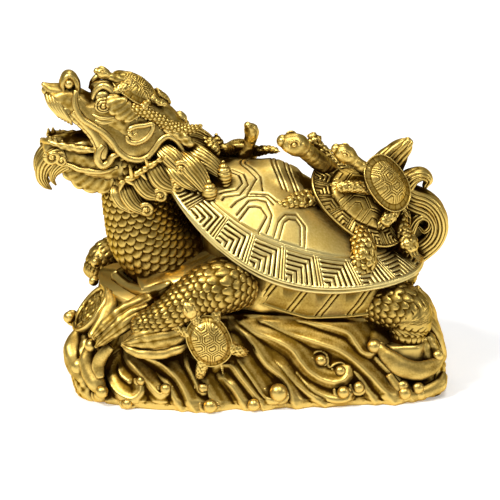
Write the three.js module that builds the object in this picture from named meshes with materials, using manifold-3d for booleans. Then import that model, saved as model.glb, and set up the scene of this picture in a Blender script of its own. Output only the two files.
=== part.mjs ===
// A dragon turtle: a small cast brass figure of a dragon-headed turtle that stands on a mound of
// breaking waves, with little turtles on its head, its back and the waves. It is one casting.
// +X runs from the head to the tail, +Y to the figure's right flank, +Z up. Lengths are millimetres.
import * as THREE from "three";
import { LoftGeometry } from "three/addons/geometries/LoftGeometry.js";
import { mergeVertices } from "three/addons/utils/BufferGeometryUtils.js";
import Module from "manifold-3d";

const wasm = await Module();
wasm.setup();

// Driving sizes.
const FIGURE_LENGTH = 150; // beard to tail
const BASE_LENGTH = 126; // wave mound, across its foot
const BASE_WIDTH = 84;
const BASE_EDGE = 3; // upright foot of the mound
const SHELL_LENGTH = 94; // big carapace, in plan
const SHELL_WIDTH = 75;
const SHELL_LIP = 2.6; // thickness of the carapace at its rim
const COIN_RADIUS = 9; // round disc that leans on the waves under the chin
const COIN_THICKNESS = 3;
const DROP_RADIUS = 2.4; // water drop inside a wave's curl
const CREST_DEPTH = 3.2; // how far a wave's crest stands off the mound

// The pose, the proportions and the carving are drawn on a grid, 150 units from beard to tail.
const GRID = FIGURE_LENGTH / 150;
const TURN = 2 * Math.PI;
const UP = [0, 0, 1];

const SHELL_CENTRE = 15; // grid, along X
const SHELL_BAND = 0.8; // share of the carapace inside its margin band
const SHELL_STEP = 0.035; // share of its height that the dome stands proud of that band
const MOUND_CENTRE = 4; // grid, along X, of the mound's foot
const CROWN = { centre: 1, length: 112, width: 60 }; // grid: top edge of the mound, under the body
const CRESTS = 11; // wave crests down each flank, from the head's end to the tail's
const CREST_SWEEP = 0.7; // radians that a crest sweeps towards the tail on its way down
const RIM_END_HEIGHT = 38; // grid: height of the carapace's rim at the tail
const RIM_RISE = 35; // grid: how much higher it stands by the neck

const lerp = THREE.MathUtils.lerp;
const radians = THREE.MathUtils.degToRad;
const vector = ([x, y, z]) => new THREE.Vector3(x, y, z);
const onGrid = (p) => vector(p).multiplyScalar(GRID);
const mirrored = (stations) => stations.map(([x, y, ...rest]) => [x, -y, ...rest]);

// A closed three.js geometry as a solid that can be joined and cut.
function toSolid(geometry) {
  const bare = new THREE.BufferGeometry().setAttribute("position", geometry.getAttribute("position"));
  bare.setIndex(geometry.index);
  const merged = mergeVertices(bare, 1e-4);
  const corners = merged.index.array;
  const triVerts = [];
  for (let i = 0; i < corners.length; i += 3) {
    const [a, b, c] = corners.slice(i, i + 3);
    if (a !== b && b !== c && c !== a) triVerts.push(a, b, c);
  }
  return new wasm.Manifold(
    new wasm.Mesh({
      numProp: 3,
      vertProperties: merged.getAttribute("position").array,
      triVerts: Uint32Array.from(triVerts),
    }),
  );
}

// A solid as a three.js geometry.
function toGeometry(solid) {
  const { vertProperties, triVerts } = solid.getMesh();
  const geometry = new THREE.BufferGeometry();
  geometry.setAttribute("position", new THREE.BufferAttribute(vertProperties, 3));
  geometry.setIndex(new THREE.BufferAttribute(triVerts, 1));
  geometry.computeVertexNormals();
  return geometry;
}

const fuse = (solids) => solids.reduce((whole, next) => whole.add(next));

// A skin over rings of points, with flat ends. Rings that wind the wrong way round are turned.
function skin(rings) {
  const area = new THREE.Vector3();
  const ahead = new THREE.Vector3();
  rings[0].forEach((p, i) => {
    area.add(p.clone().cross(rings[0][(i + 1) % rings[0].length]));
    ahead.add(rings[1][i]).sub(p);
  });
  const wound = area.dot(ahead) > 0 ? rings : rings.map((ring) => [...ring].reverse());
  return toSolid(new LoftGeometry(wound, { capStart: true, capEnd: true }));
}

// A tapering limb along stations [x, y, z, halfWidth, halfHeight] on the grid. Its height leans to up,
// its far end is rounded, and bulge is the power of its section: 2 is an ellipse, 1 a diamond.
function limb(stations, { up = UP, sides = 6, steps = stations.length, bulge = 2, tip = true } = {}) {
  const path = new THREE.CatmullRomCurve3(stations.map(onGrid), false, "centripetal");
  const halfSizes = stations.map(([, , , wide, high = wide]) => new THREE.Vector2(wide, high));
  const halfSize = (t) => {
    const at = t * (stations.length - 1);
    const low = Math.min(Math.floor(at), stations.length - 2);
    return halfSizes[low].clone().lerp(halfSizes[low + 1], at - low).multiplyScalar(GRID);
  };
  const ring = (t, share, shift) => {
    const ahead = path.getTangent(t).normalize();
    const side = ahead.clone().cross(vector(up)).normalize();
    const top = side.clone().cross(ahead);
    const { x: wide, y: high } = halfSize(t).multiplyScalar(share);
    const centre = path.getPoint(t).addScaledVector(ahead, shift * halfSize(t).y);
    return Array.from({ length: sides }, (_, i) => {
      const angle = (TURN * (i + 0.5)) / sides;
      const [c, s] = [Math.cos(angle), Math.sin(angle)];
      const reach = (Math.abs(c) ** bulge + Math.abs(s) ** bulge) ** (-1 / bulge);
      return centre.clone().addScaledVector(side, wide * reach * c).addScaledVector(top, high * reach * s);
    });
  };
  const rings = Array.from({ length: steps + 1 }, (_, i) => ring(i / steps, 1, 0));
  if (tip) rings.push(ring(1, 0.6, 0.6));
  return skin(rings);
}

const bothSides = (stations, options) => [limb(stations, options), limb(mirrored(stations), options)];

// An ellipsoid on the grid.
function ball(centre, radii) {
  const geometry = new THREE.SphereGeometry(1, 6, 4);
  geometry.scale(...radii.map((r) => r * GRID)).translate(...onGrid(centre));
  return toSolid(geometry);
}

const bothBalls = ([x, y, z], radii) => [ball([x, y, z], radii), ball([x, -y, z], radii)];

// A point of a rounded oblong of two half-lengths.
function oblong(angle, halfLength, halfWidth, power) {
  const [c, s] = [Math.cos(angle), Math.sin(angle)];
  const reach = (Math.abs(c) ** power + Math.abs(s) ** power) ** (-1 / power);
  return [halfLength * reach * c, halfWidth * reach * s];
}

// The mound of waves. Side is -1 on the left flank and 1 on the right, crest counts the wave crests
// from the head's end, height runs from 0 at the foot to 1 under the body, and lift stands off it.
function moundPoint(side, crest, height, lift = 0) {
  const start = (Math.PI * crest) / CRESTS;
  const angle = Math.PI - side * (start + CREST_SWEEP * Math.sin(start) * (1 - height));
  const foot = oblong(angle, BASE_LENGTH / 2, BASE_WIDTH / 2, 2.8);
  const crown = oblong(angle, (CROWN.length * GRID) / 2, (CROWN.width * GRID) / 2, 2.3);
  const headward = -Math.cos(angle);
  const top = GRID * (27 + 6 * headward + 4 * Math.max(0, headward) ** 6);
  const point = new THREE.Vector3(
    GRID * lerp(MOUND_CENTRE, CROWN.centre, height) + lerp(foot[0], crown[0], height),
    lerp(foot[1], crown[1], height),
    lerp(BASE_EDGE, top, height ** 1.1),
  );
  return point.add(new THREE.Vector3(Math.cos(angle), Math.sin(angle), 0.4).multiplyScalar(lift));
}

function moundNormal(side, crest, height) {
  const step = 0.05;
  const along = moundPoint(side, crest + step, height).sub(moundPoint(side, crest - step, height));
  const upward = moundPoint(side, crest, height + step).sub(moundPoint(side, crest, height - step));
  return upward.cross(along).multiplyScalar(side).normalize();
}

// The crests stand out most half way up. Between two of them the surface falls steeply, then gently.
function mound() {
  const ringAt = (height, share) => {
    const place = (side, i) => {
      const trough = i % 2;
      return moundPoint(side, i / 2 + 0.2 * trough, height, trough ? 0 : share * CREST_DEPTH);
    };
    const left = Array.from({ length: 2 * CRESTS + 1 }, (_, i) => place(-1, i));
    const right = Array.from({ length: 2 * CRESTS - 1 }, (_, i) => place(1, i + 1)).reverse();
    return [...left, ...right];
  };
  const foot = ringAt(0, 0.3);
  const sole = foot.map((p) => p.clone().setZ(0));
  return skin([sole, foot, ringAt(0.35, 1), ringAt(0.7, 1), ringAt(1, 0.5)]);
}

// The end of a breaking wave: it follows its crest down the mound, hooks round into a curl and holds a
// drop. It curls towards the tail, or with turn -1 towards the head.
function wave({ side = -1, crest, high, low, size, turn = 1, curl = 3.6 }) {
  const heights = [high, lerp(high, low, 0.5), low];
  const points = heights.map((height) => moundPoint(side, crest, height, CREST_DEPTH));
  const normal = moundNormal(side, crest, low);
  const ahead = points[2].clone().sub(points[1]).projectOnPlane(normal).normalize();
  const inward = normal.clone().cross(ahead).multiplyScalar(-side * turn);
  const drop = points[2].clone().addScaledVector(inward, curl * GRID);
  for (const degrees of [65, 130, 195]) {
    const radius = curl * GRID * lerp(1, 0.75, degrees / 195);
    const along = ahead.clone().multiplyScalar(radius * Math.sin(radians(degrees)));
    points.push(drop.clone().addScaledVector(inward, -radius * Math.cos(radians(degrees))).add(along));
  }
  const thickness = [0.7, 1, 1, 0.8, 0.6, 0.4].map((share) => share * size);
  const stations = points.map((p, i) => [...p.divideScalar(GRID), 0.8 * thickness[i], thickness[i]]);
  const hook = limb(stations, { up: normal.toArray(), sides: 4, steps: 4, bulge: 1.3, tip: false });
  const bead = new THREE.IcosahedronGeometry(DROP_RADIUS).translate(...drop);
  return hook.add(toSolid(bead));
}

function waves() {
  const flank = [
    { crest: 2, high: 0.75, low: 0.3, size: 4, curl: 5 },
    { crest: 3, high: 0.6, low: 0.16, size: 4, curl: 3.8 },
    { crest: 4, high: 0.6, low: 0.2, size: 4.2, curl: 4 },
    { crest: 5, high: 0.85, low: 0.42, size: 3.6, curl: 3.6 },
    { crest: 6, high: 0.6, low: 0.14, size: 4.4, curl: 4 },
    { crest: 7, high: 0.95, low: 0.6, size: 3.6, curl: 4 },
  ];
  const ends = [
    { crest: 0, high: 0.6, low: 0.22, size: 3.6, curl: 4 },
    { crest: 8, high: 0.4, low: 0.12, size: 3, curl: 2.6 },
    { side: 1, crest: 8, high: 0.4, low: 0.12, size: 3, curl: 2.6 },
  ];
  const farFlank = flank.filter((_, i) => i % 2 === 0).map((w) => ({ ...w, side: 1 }));
  return [...flank, ...farFlank, ...ends].map(wave);
}

// Height of the carapace's rim, and of its dome, at a place along the figure.
function rimHeight(x) {
  const headward = Math.max(0, (50 - x / GRID) / 79);
  return GRID * (RIM_END_HEIGHT + RIM_RISE * headward ** 2.5);
}

const domeHeight = (x) => GRID * (35 - 9 * THREE.MathUtils.smoothstep(x / GRID, 0, 48));

function carapace() {
  const centre = SHELL_CENTRE * GRID;
  const ring = (share, rise) =>
    Array.from({ length: 24 }, (_, i) => {
      const [x, y] = oblong((TURN * i) / 24, (share * SHELL_LENGTH) / 2, (share * SHELL_WIDTH) / 2, 2.5);
      return new THREE.Vector3(x + centre, y, rimHeight(x + centre) + rise * domeHeight(x + centre));
    });
  const lip = (share, drop) => ring(share, 0).map((p) => p.setZ(p.z - drop));
  const rise = (share) => 1 - share ** 1.65;
  const band = ring(SHELL_BAND, rise(SHELL_BAND) - SHELL_STEP);
  const dome = [SHELL_BAND - 0.02, 0.56, 0.34, 0.12].map((share) => ring(share, rise(share)));
  return skin([lip(0.75, 2 * SHELL_LIP), lip(0.98, SHELL_LIP), ring(1, 0), band, ...dome]);
}

// The trunk under the carapace, the neck that bulges forward and the lip of the breastplate.
function body() {
  const trunk = [
    [-38, 0, 45, 16, 12],
    [-24, 0, 44, 26, 16],
    [0, 0, 41, 32, 16],
    [26, 0, 38, 32, 14],
    [44, 0, 37, 26, 12],
    [56, 0, 35, 14, 8],
  ];
  const neck = [
    [-27, 0, 42, 16, 15],
    [-35.5, 0, 52, 14, 14.5],
    [-39.5, 0, 62, 12, 12.5],
    [-41.5, 0, 71, 10.5, 11],
    [-42, 0, 80, 10, 10],
    [-40, 0, 89, 10, 9],
  ];
  const breastLip = [
    [-47, 0, 36.5, 2.5],
    [-42, -12, 35.5, 2.5],
    [-36, -20, 37.5, 2.5],
    [-30, -26, 44, 2.5],
    [-24, -30, 51, 2.5],
  ];
  return [
    limb(trunk, { sides: 10, steps: 5, bulge: 3.4 }),
    limb(neck, { up: [1, 0, 0], sides: 9, steps: 4, tip: false }),
    ...bothSides(breastLip, { sides: 5, steps: 4, tip: false }),
  ];
}

// A paw with three toes that grip forward.
function paw([x, y, z], spread) {
  const toes = [-1, 0, 1].map((k) => [
    [x - 2, y + 2.4 * k, z, 2.2],
    [x - 7, y + spread + 3.2 * k, z - 1, 2],
    [x - 10, y + spread + 3.6 * k, z - 3.4, 0.7],
  ]);
  const palm = ball([x, y, z], [6.5, 5.5, 4]);
  return [palm, ...toes.map((toe) => limb(toe, { sides: 4, steps: 2, tip: false }))];
}

// Legs, the smooth strands that fly from the front elbows, and the rocks under the hind legs.
function legs() {
  const arm = [
    [-3, -25, 47, 11],
    [-14, -31, 46, 10.5],
    [-25, -34, 40.5, 8.5],
    [-37, -34, 34, 7],
    [-47, -32, 28, 5.5],
  ];
  const strand = [
    [-30, -36, 33, 5, 3],
    [-42, -37, 31, 4, 2.5],
    [-54, -33, 29, 2.5, 2],
    [-61, -26, 27, 0.8, 0.8],
  ];
  const thigh = [
    [40, -22, 37, 9],
    [50, -25, 34, 9.5],
    [56, -26, 29, 8.5],
    [55, -26, 23, 7],
  ];
  const rock = (side) => {
    const rim = (share, z) =>
      Array.from({ length: 10 }, (_, i) => {
        const angle = (TURN * i) / 10;
        const reach = share * (1 + 0.1 * Math.cos(3 * angle));
        return onGrid([54 + 10.5 * reach * Math.cos(angle), side * 26 + 9.5 * reach * Math.sin(angle), z]);
      });
    return skin([rim(1.12, 5), rim(1, 19), rim(0.86, 21)]);
  };
  return [
    ...bothSides(arm, { sides: 8, steps: 4 }),
    ...bothSides(strand, { sides: 4, steps: 3, tip: false }),
    ...paw([-50, -31, 26], -3),
    ...paw([-49, 29, 26], 2),
    ...bothSides(thigh, { steps: 3 }),
    rock(-1),
    rock(1),
  ];
}

// The dragon's head, mouth open, lifted to the front.
function head() {
  const face = [
    [-26, 0, 90, 7.6, 5],
    [-33, 0, 93.5, 10, 8.6],
    [-41, 0, 95.6, 10.6, 10.6],
    [-48, 0, 97.4, 9.6, 9.6],
    [-54, 0, 99, 8.4, 7.6],
    [-59, 0, 100.4, 7.4, 5.8],
    [-64, 0, 103.8, 6.4, 5.4],
    [-69, 0, 105.5, 5.2, 4.6],
  ];
  const noseTip = [
    [-67, 0, 106, 4.6, 4],
    [-71, 0, 107.6, 3, 2.6],
    [-73.4, 0, 109.2, 1, 1],
  ];
  const nostril = [
    [-62.5, -3.6, 107, 2],
    [-62.4, -3.8, 112, 1.8],
    [-64.8, -3.2, 114.4, 1.6],
    [-67, -3, 112.6, 1.4],
  ];
  const cheekRim = [
    [-62.8, -5.5, 108, 1.1],
    [-62.9, -6.6, 101.8, 1.2],
    [-54.5, -8.6, 95.8, 1.3],
    [-47.5, -10.4, 89.5, 1.3],
    [-40.8, -11.6, 85.2, 1.3],
    [-34, -11.4, 89.8, 1.3],
    [-29, -10.6, 92.6, 1.3],
    [-24.8, -9.5, 87.5, 1.1],
  ];
  const jaw = [
    [-40, 0, 79, 9.5, 7.5],
    [-52, 0, 80, 8.8, 6.4],
    [-62, 0, 82.8, 7.6, 5],
    [-71, 0, 85.2, 6, 3.6],
  ];
  const mouthFloor = [
    [-50, 0, 88, 6.6, 4],
    [-61, 0, 89, 5.8, 3.8],
    [-69, 0, 90.6, 4.4, 3.4],
    [-73, 0, 92, 3.4, 3],
  ];
  const mouthCorner = [
    [-51, -8, 93, 1.5],
    [-55.6, -9, 88, 1.5],
    [-53.6, -9.6, 82.4, 1.5],
    [-49, -9, 80, 1.5],
  ];
  const beard = [
    [-66, -4, 84, 3.2],
    [-71.6, -4.2, 82.4, 3],
    [-74.4, -3.8, 78.6, 2.4],
    [-72.6, -3, 73.8, 1.4],
  ];
  const beardCurl = [
    [-64, -6.2, 84.6, 1.8],
    [-68.4, -6.6, 83.6, 2.6],
    [-70.6, -6, 81.5, 1.6],
  ];
  const fringe = [
    [-66, 0, 80, 4, 3],
    [-59, 0, 76.5, 5, 3],
    [-51, 0, 73, 6, 3],
  ];
  const brow = [
    [-56.5, -4.5, 105.5, 1.8],
    [-52.5, -5, 108, 2.8],
    [-47.5, -6.4, 104.6, 3.2],
    [-43, -7.4, 101.4, 2.4],
  ];
  const antler = [
    [-46, -6.6, 102, 2.8],
    [-38.5, -7, 99.4, 2.7],
    [-31, -6.6, 96.4, 2.7],
    [-25, -6.6, 94.8, 2.4],
    [-18.6, -6.4, 95.2, 0.8],
  ];
  const farAntler = [
    [-46, 6.4, 101.5, 2.8],
    [-38, 6.4, 97.6, 2.7],
    [-31, 6, 95.2, 2.7],
    [-25.4, 5.6, 94, 2.5],
  ];
  const ear = [
    [-35.6, -9.6, 97.2, 1, 0.6],
    [-39.4, -10.4, 95, 2, 2.6],
    [-44.6, -10, 93.6, 1.2, 1.6],
  ];
  return [
    limb(face, { sides: 8, steps: 7, bulge: 2.4, tip: false }),
    limb(noseTip, { sides: 5, steps: 2, tip: false }),
    limb(jaw, { sides: 8 }).subtract(limb(mouthFloor)),
    limb(fringe, { sides: 5, steps: 2 }),
    ...bothSides(nostril, { sides: 4, steps: 3, tip: false }),
    ...bothSides(cheekRim, { sides: 3, steps: 6, tip: false }),
    ...bothSides(mouthCorner, { sides: 4, steps: 3, tip: false }),
    ...bothSides(beard, { sides: 4, steps: 3, tip: false }),
    ...bothSides(beardCurl, { sides: 4, steps: 2, tip: false }),
    ...bothBalls([-52.9, -6.4, 104], [2.4, 2.2, 2.4]),
    ...bothSides(brow, { sides: 4, steps: 3, tip: false }),
    limb(antler, { sides: 4, steps: 4, tip: false }),
    limb(farAntler, { sides: 4, steps: 2 }),
    ...bothBalls([-22.8, -7.4, 90.6], [2.8, 2.4, 3.2]),
    ...bothSides(ear, { sides: 4, steps: 2, tip: false }),
  ];
}

// Locks of the mane: flat bands that sweep back from the jaw and end in a curl or a ringed knob.
function mane() {
  const collar = [
    [-41, 0, 79, 11, 9],
    [-33, 0, 83, 11, 9.5],
    [-25, 0, 86.5, 9.5, 6],
    [-17, 0, 85, 7, 3],
  ];
  const curled = [
    [
      [-36, -9.5, 87, 3.8, 2],
      [-32, -11.5, 82.4, 3.8, 2],
      [-28.6, -12.5, 78, 3.4, 2],
      [-24.6, -12.6, 79.6, 2],
    ],
    [
      [-42, -9, 82, 3.6, 2],
      [-38.5, -11, 76.2, 3.6, 2],
      [-34.5, -12, 70.7, 3.2, 2],
      [-30.6, -12, 71.7, 2],
    ],
    [
      [-46, -8, 78.3, 3.4, 2],
      [-43, -9.5, 71.4, 3.4, 2],
      [-38.5, -10.5, 66.2, 3, 2],
      [-34.6, -10.5, 67.5, 2],
    ],
  ];
  const knobbed = [
    [
      [-31, -8, 89, 4, 2.4],
      [-24, -11, 84.8, 4, 2.4],
      [-19, -15, 80.4, 3.6, 2.4],
      [-15.4, -19, 76.1, 3, 2.4],
    ],
    [
      [-28, -5, 88.3, 3.8, 2.4],
      [-19.5, -8, 85.5, 3.8, 2.4],
      [-14, -10.5, 83.4, 3.6, 2.4],
      [-11, -13, 80.1, 3],
    ],
    [
      [-27, -2, 88, 4, 2.4],
      [-18, -4, 85.8, 4, 2.2],
      [-10, -6, 83.5, 3, 2],
    ],
  ];
  const knobRadii = [4.2, 4, 3.4];
  const lock = { up: [0.1, -1, 0.4], sides: 4, steps: 3, bulge: 3, tip: false };
  return [
    limb(collar, { up: [0.4, 0, 1], sides: 8, steps: 3 }),
    ...[...curled, ...knobbed].flatMap((stations) => bothSides(stations, lock)),
    ...knobbed.flatMap((stations, i) => bothBalls(stations.at(-1).slice(0, 3), Array(3).fill(knobRadii[i]))),
  ];
}

// The tail stands up behind the carapace as a flame, a hook and a large open swirl.
function tail() {
  const flame = [
    [43, 4, 58, 3.6, 7],
    [46, 4, 69, 3.6, 6.5],
    [49.5, 4, 76, 3.2, 5],
    [53.5, 3.5, 81.2, 2.4, 3],
    [58.5, 3, 86, 0.9, 0.9],
  ];
  const hook = [
    [47, 0, 48, 4.4, 8],
    [50.5, 0, 59, 4.4, 6],
    [54, 0, 67, 4.4, 5],
    [57.4, 0, 71.4, 4.2, 3.4],
    [61.2, 0, 72.8, 3.8, 2.6],
    [63.6, 0, 70.8, 3.4, 2],
    [62, 0, 68.4, 3, 1.4],
  ];
  const swirl = [
    [55, 0, 65, 4.4, 4],
    [62, 0, 63, 4.6, 4.2],
    [66.8, 0, 58.8, 4.6, 3.8],
    [68, 0, 53, 4.6, 3.2],
    [65.4, 0, 47, 4.6, 3.2],
    [60, 0, 42, 4.6, 3.6],
    [50, 0, 37, 4.6, 4.4],
  ];
  const innerSwirl = [
    [65, 0, 59, 4, 3],
    [61, 0, 57.8, 4, 2.6],
    [58.6, 0, 54.4, 4, 2.6],
    [59.6, 0, 50.2, 4, 2.4],
    [62.2, 0, 49.6, 3.6, 2.2],
    [63.4, 0, 51.6, 3.2, 1.5],
  ];
  const across = { up: [1, 0, 0.1], sides: 5 };
  return [
    limb(flame, { ...across, steps: 4, tip: false }),
    limb(hook, { ...across, tip: false }),
    limb(swirl, { ...across, tip: false }),
    limb(innerSwirl, { ...across, steps: 5, tip: false }),
    ball([51, 0, 50], [6, 3.6, 14]),
  ];
}

// A little turtle, with its shell 2 units long and its belly at the origin. It looks along +X.
// Thickness is that of its neck and feet, as a share of its size.
function littleTurtle({ at, facing, up, size, neck, thickness = 0.24, shellSides = 8 }) {
  const ahead = vector(facing).normalize();
  const top = vector(up).projectOnPlane(ahead).normalize();
  const basis = new THREE.Matrix4().makeBasis(ahead, top.clone().cross(ahead), top);
  basis.scale(new THREE.Vector3(size, size, size)).setPosition(...at);
  const place = (p) => vector(p).applyMatrix4(basis).toArray();
  const part = (stations, options) => {
    const grown = stations.map(([x, y, z, ...half]) => [...place([x, y, z]), ...half.map((h) => h * size)]);
    const blocky = { up: top.toArray(), sides: 4, steps: stations.length - 1, bulge: 3, tip: false };
    return limb(grown, { ...blocky, ...options });
  };
  const shellRing = (share, rise) =>
    Array.from({ length: shellSides }, (_, i) => {
      const [along, across] = oblong((TURN * i) / shellSides, share, 0.78 * share, 2.3);
      return onGrid(place([along, across, rise]));
    });
  const shell = skin([shellRing(0.8, -0.12), shellRing(1, 0.06), shellRing(0.8, 0.32), shellRing(0.4, 0.56)]);
  const [x, y, z] = [0.8 + neck[0], neck[1], 0.08 + neck[2]];
  const neckAndHead = part(
    [
      [0.6, 0, 0, 1.2 * thickness],
      [x - 0.12, y, z - 0.06, 0.85 * thickness],
      [x + 0.12, y, z + 0.02, 1.2 * thickness, thickness],
      [x + 0.4, y, z + 0.02, 0.55 * thickness, 0.5 * thickness],
    ],
    { sides: 6, bulge: 2 },
  );
  const hip = 0.8 * thickness;
  const sole = [0.6 * thickness, 0.4 * thickness];
  const feet = [-1, 1].flatMap((side) => [
    part([[0.6, 0.6 * side, 0, hip], [1.16, 0.96 * side, -0.16, ...sole]]),
    part([[-0.6, 0.6 * side, 0, hip], [-1.06, 0.92 * side, -0.18, ...sole]]),
  ]);
  return fuse([shell, neckAndHead, ...feet]);
}

// Where the little turtles are, which way they look and climb, and how far they stretch their necks.
const LITTLE_TURTLES = {
  onDragonHead: {
    at: [-39.5, -1, 105.5],
    facing: [-0.84, -0.1, 0.42],
    up: [0.42, -0.25, 0.87],
    size: 8.5,
    neck: [0.6, 0, 0.16],
  },
  onFarFlank: {
    at: [-3, 13, 73.5],
    facing: [0.25, -0.75, 0.6],
    up: [0, 0.6, 0.8],
    size: 9,
    neck: [0.4, 0, 0.66],
  },
  onRump: {
    at: [34, -7, 58],
    facing: [-0.72, 0.05, 0.69],
    up: [0.57, -0.52, 0.64],
    size: 19,
    neck: [0.62, 0, 0.32],
    thickness: 0.18,
    shellSides: 12,
  },
  rider: {
    at: [45.8, -10, 70.6],
    facing: [-0.7, 0.05, 0.7],
    up: [0.57, -0.52, 0.64],
    size: 10,
    neck: [0.5, 0, 0.2],
  },
  onWaves: {
    at: [-14, -38, 26],
    facing: [-0.5, 0.25, 0.83],
    up: [-0.1, -0.85, 0.5],
    size: 9.5,
    neck: [0.5, 0.15, 0.1],
  },
};

function coin() {
  const disc = new THREE.CylinderGeometry(COIN_RADIUS, COIN_RADIUS, COIN_THICKNESS, 20);
  disc.rotateZ(radians(90)).rotateY(radians(-30)).rotateZ(radians(15)).translate(...onGrid([-58, -7, 29.5]));
  return toSolid(disc);
}

const figure = fuse([
  mound(),
  ...waves(),
  ...body(),
  ...legs(),
  carapace(),
  ...head(),
  ...mane(),
  ...tail(),
  coin(),
  ...Object.values(LITTLE_TURTLES).map(littleTurtle),
]);

// The joined skins shut small pockets inside the metal. The outer skin alone is kept, so they are solid.
const [outer] = figure.decompose().sort((a, b) => b.volume() - a.volume());

// The figure stands with the middle of its outline, seen from above, at the origin.
const geometry = toGeometry(outer);
geometry.computeBoundingBox();
const middle = geometry.boundingBox.getCenter(new THREE.Vector3());
geometry.translate(-middle.x, -middle.y, 0);

const brass = new THREE.MeshStandardMaterial({ color: 0xc9a24a, roughness: 0.38, metalness: 1 });
const casting = new THREE.Mesh(geometry, brass);
casting.name = "dragon_turtle";

const group = new THREE.Group();
group.add(casting);
export default group;
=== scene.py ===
# A cast brass figure of a dragon turtle that crosses breaking waves, with little turtles on it.
# Shapes are drawn in millimetres, on the same grid as the solids, and moved into the frame's metres.
import logging
import math
from dataclasses import dataclass, replace
from enum import Enum
from typing import Any, Callable, Optional, Sequence, Union

import bpy
import numpy as np
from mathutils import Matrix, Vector


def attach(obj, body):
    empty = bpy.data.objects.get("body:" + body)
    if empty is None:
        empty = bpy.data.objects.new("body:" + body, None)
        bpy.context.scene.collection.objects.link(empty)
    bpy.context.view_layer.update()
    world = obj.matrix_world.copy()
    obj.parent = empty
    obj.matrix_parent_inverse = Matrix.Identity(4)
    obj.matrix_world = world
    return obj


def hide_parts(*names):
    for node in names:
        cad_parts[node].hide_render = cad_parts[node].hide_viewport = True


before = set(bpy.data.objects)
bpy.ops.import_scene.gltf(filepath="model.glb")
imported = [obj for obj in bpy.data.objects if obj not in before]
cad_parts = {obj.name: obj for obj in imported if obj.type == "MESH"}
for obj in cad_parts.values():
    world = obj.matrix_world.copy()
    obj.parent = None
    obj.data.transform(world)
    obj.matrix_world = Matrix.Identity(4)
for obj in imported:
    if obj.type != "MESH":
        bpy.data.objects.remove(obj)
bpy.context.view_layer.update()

log = logging.getLogger("dragon turtle")
Array = np.ndarray
Station = Sequence[float]
Relief = Callable[["Place"], Array]

MM = 0.001
GRID_ORIGIN = np.array([2.8089, 0.0473, 0.0])  # mm: where the drawing grid's zero lies in the frame
NODE = "dragon_turtle"
TURN = 2.0 * math.pi

SHELL_CENTRE = 15.0  # mm along the grid
SHELL_HALF_LENGTH = 47.0
SHELL_HALF_WIDTH = 37.5
SHELL_POWER = 2.5  # of its rounded oblong, 2 being an ellipse
BAND_INSIDE = 0.79  # share of the shell inside its margin
RIM_LEVEL = 42.5  # mm, how high the rim stands at its rear
RIM_RISE = 35.3  # mm that it climbs to its front end
RIM_LEVEL_FROM = 35.0  # mm along the figure: it is level from there on
RIM_SPAN = 67.0  # mm from there to its front end
RIM_POWER = 2.5
DOME_HEIGHT = 32.5  # mm above the rim
DOME_FALL = 14.0  # mm that it is lower at its rear
DOME_FALLS_BETWEEN = (5.0, 50.0)  # mm along the figure
DOME_POWER = 1.9  # of its roundness
SPINE_BEND = 0.016  # per mm, how the lines across the spine bow back
SPINE_HALF_WIDTH = 13.8  # mm

KEPT_SHARE = 0.45  # of the faces, after the reliefs are modelled
WAVER_PARTS = 7


class Side(Enum):
    """The figure's two flanks, by the sign of their y."""

    LEFT = -1
    RIGHT = 1


def smooth(x: Array, low: float, high: float) -> Array:
    """Returns x eased from 0 at low to 1 at high."""
    t = np.clip((x - low) / (high - low), 0.0, 1.0)
    return t * t * (3.0 - 2.0 * t)


def line(distance: Array, width: float) -> Array:
    """Returns 1 on a cut line and 0 a width away from it."""
    return np.exp(-((distance / width) ** 2))


def unit(vectors: Array) -> Array:
    """Returns the vectors with length 1."""
    return vectors / np.maximum(np.linalg.norm(vectors, axis=-1, keepdims=True), 1e-12)


def mirrored(stations: Sequence[Station]) -> list[list[float]]:
    """Returns stations carried to the other flank."""
    return [[s[0], -s[1], *s[2:]] for s in stations]


def waver(points: Array, size: float, seed: int = 1) -> Array:
    """A soft, repeatable unevenness.

    Args:
        points: places in mm, the last axis being x, y, z.
        size: the size of its hills in mm.
        seed: which of its patterns.

    Returns:
        A value of about -1 to 1 for each place.
    """
    chance = np.random.default_rng(seed)
    total = np.zeros(points.shape[:-1])
    for _ in range(WAVER_PARTS):
        direction = unit(chance.normal(size=3)) * TURN / (size * chance.uniform(0.8, 1.9))
        total += np.sin(points @ direction + chance.uniform(0, TURN))
    return total / 3.0


@dataclass
class Place:
    """What a relief knows about each point of a skin."""

    along: Array  # mm from the start
    share: Array  # 0 at the start, 1 at the end
    angle: Array  # round the section, 0 at its side, a quarter turn at its top
    girth: Array  # mm round the section
    points: Array  # mm


def scaled(pitch: float, width: float, depth: float, back: bool = False) -> Relief:
    """Overlapping scales, with their round tips along the limb.

    Args:
        pitch: mm from one row to the next.
        width: mm from one scale to the next, round the limb.
        depth: mm that a tip stands up.
        back: whether the tips point back to the start.

    Returns:
        The relief.
    """

    def relief(p: Place) -> Array:
        """Returns the height of the scales."""
        count = max(6, round(float(p.girth.mean()) / width))
        rows = p.along / pitch * (-1 if back else 1) + 0.12 * waver(p.points, 9, 4)
        across = p.angle / TURN * count + 0.1 * waver(p.points, 8, 5)
        height = np.zeros(rows.shape)
        free = np.ones(rows.shape, bool)
        for step in (-1, 0, 1):
            row = np.floor(rows) + step
            x = across - 0.5 * (row % 2)
            x = x - np.round(x)
            reach = 0.3 + 0.85 * np.sqrt(np.clip(1 - (2 * x) ** 2, 0, 1))
            y = rows - row
            inside = free & (y <= reach)
            rise = (0.15 + 0.85 * smooth(y, -0.6, 1.1)) * (1 - 0.25 * (2 * x) ** 2)
            height = np.where(inside, depth * rise * (0.55 + 0.45 * smooth(reach - y, 0, 0.1)), height)
            free &= ~inside
        return height

    return relief


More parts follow.
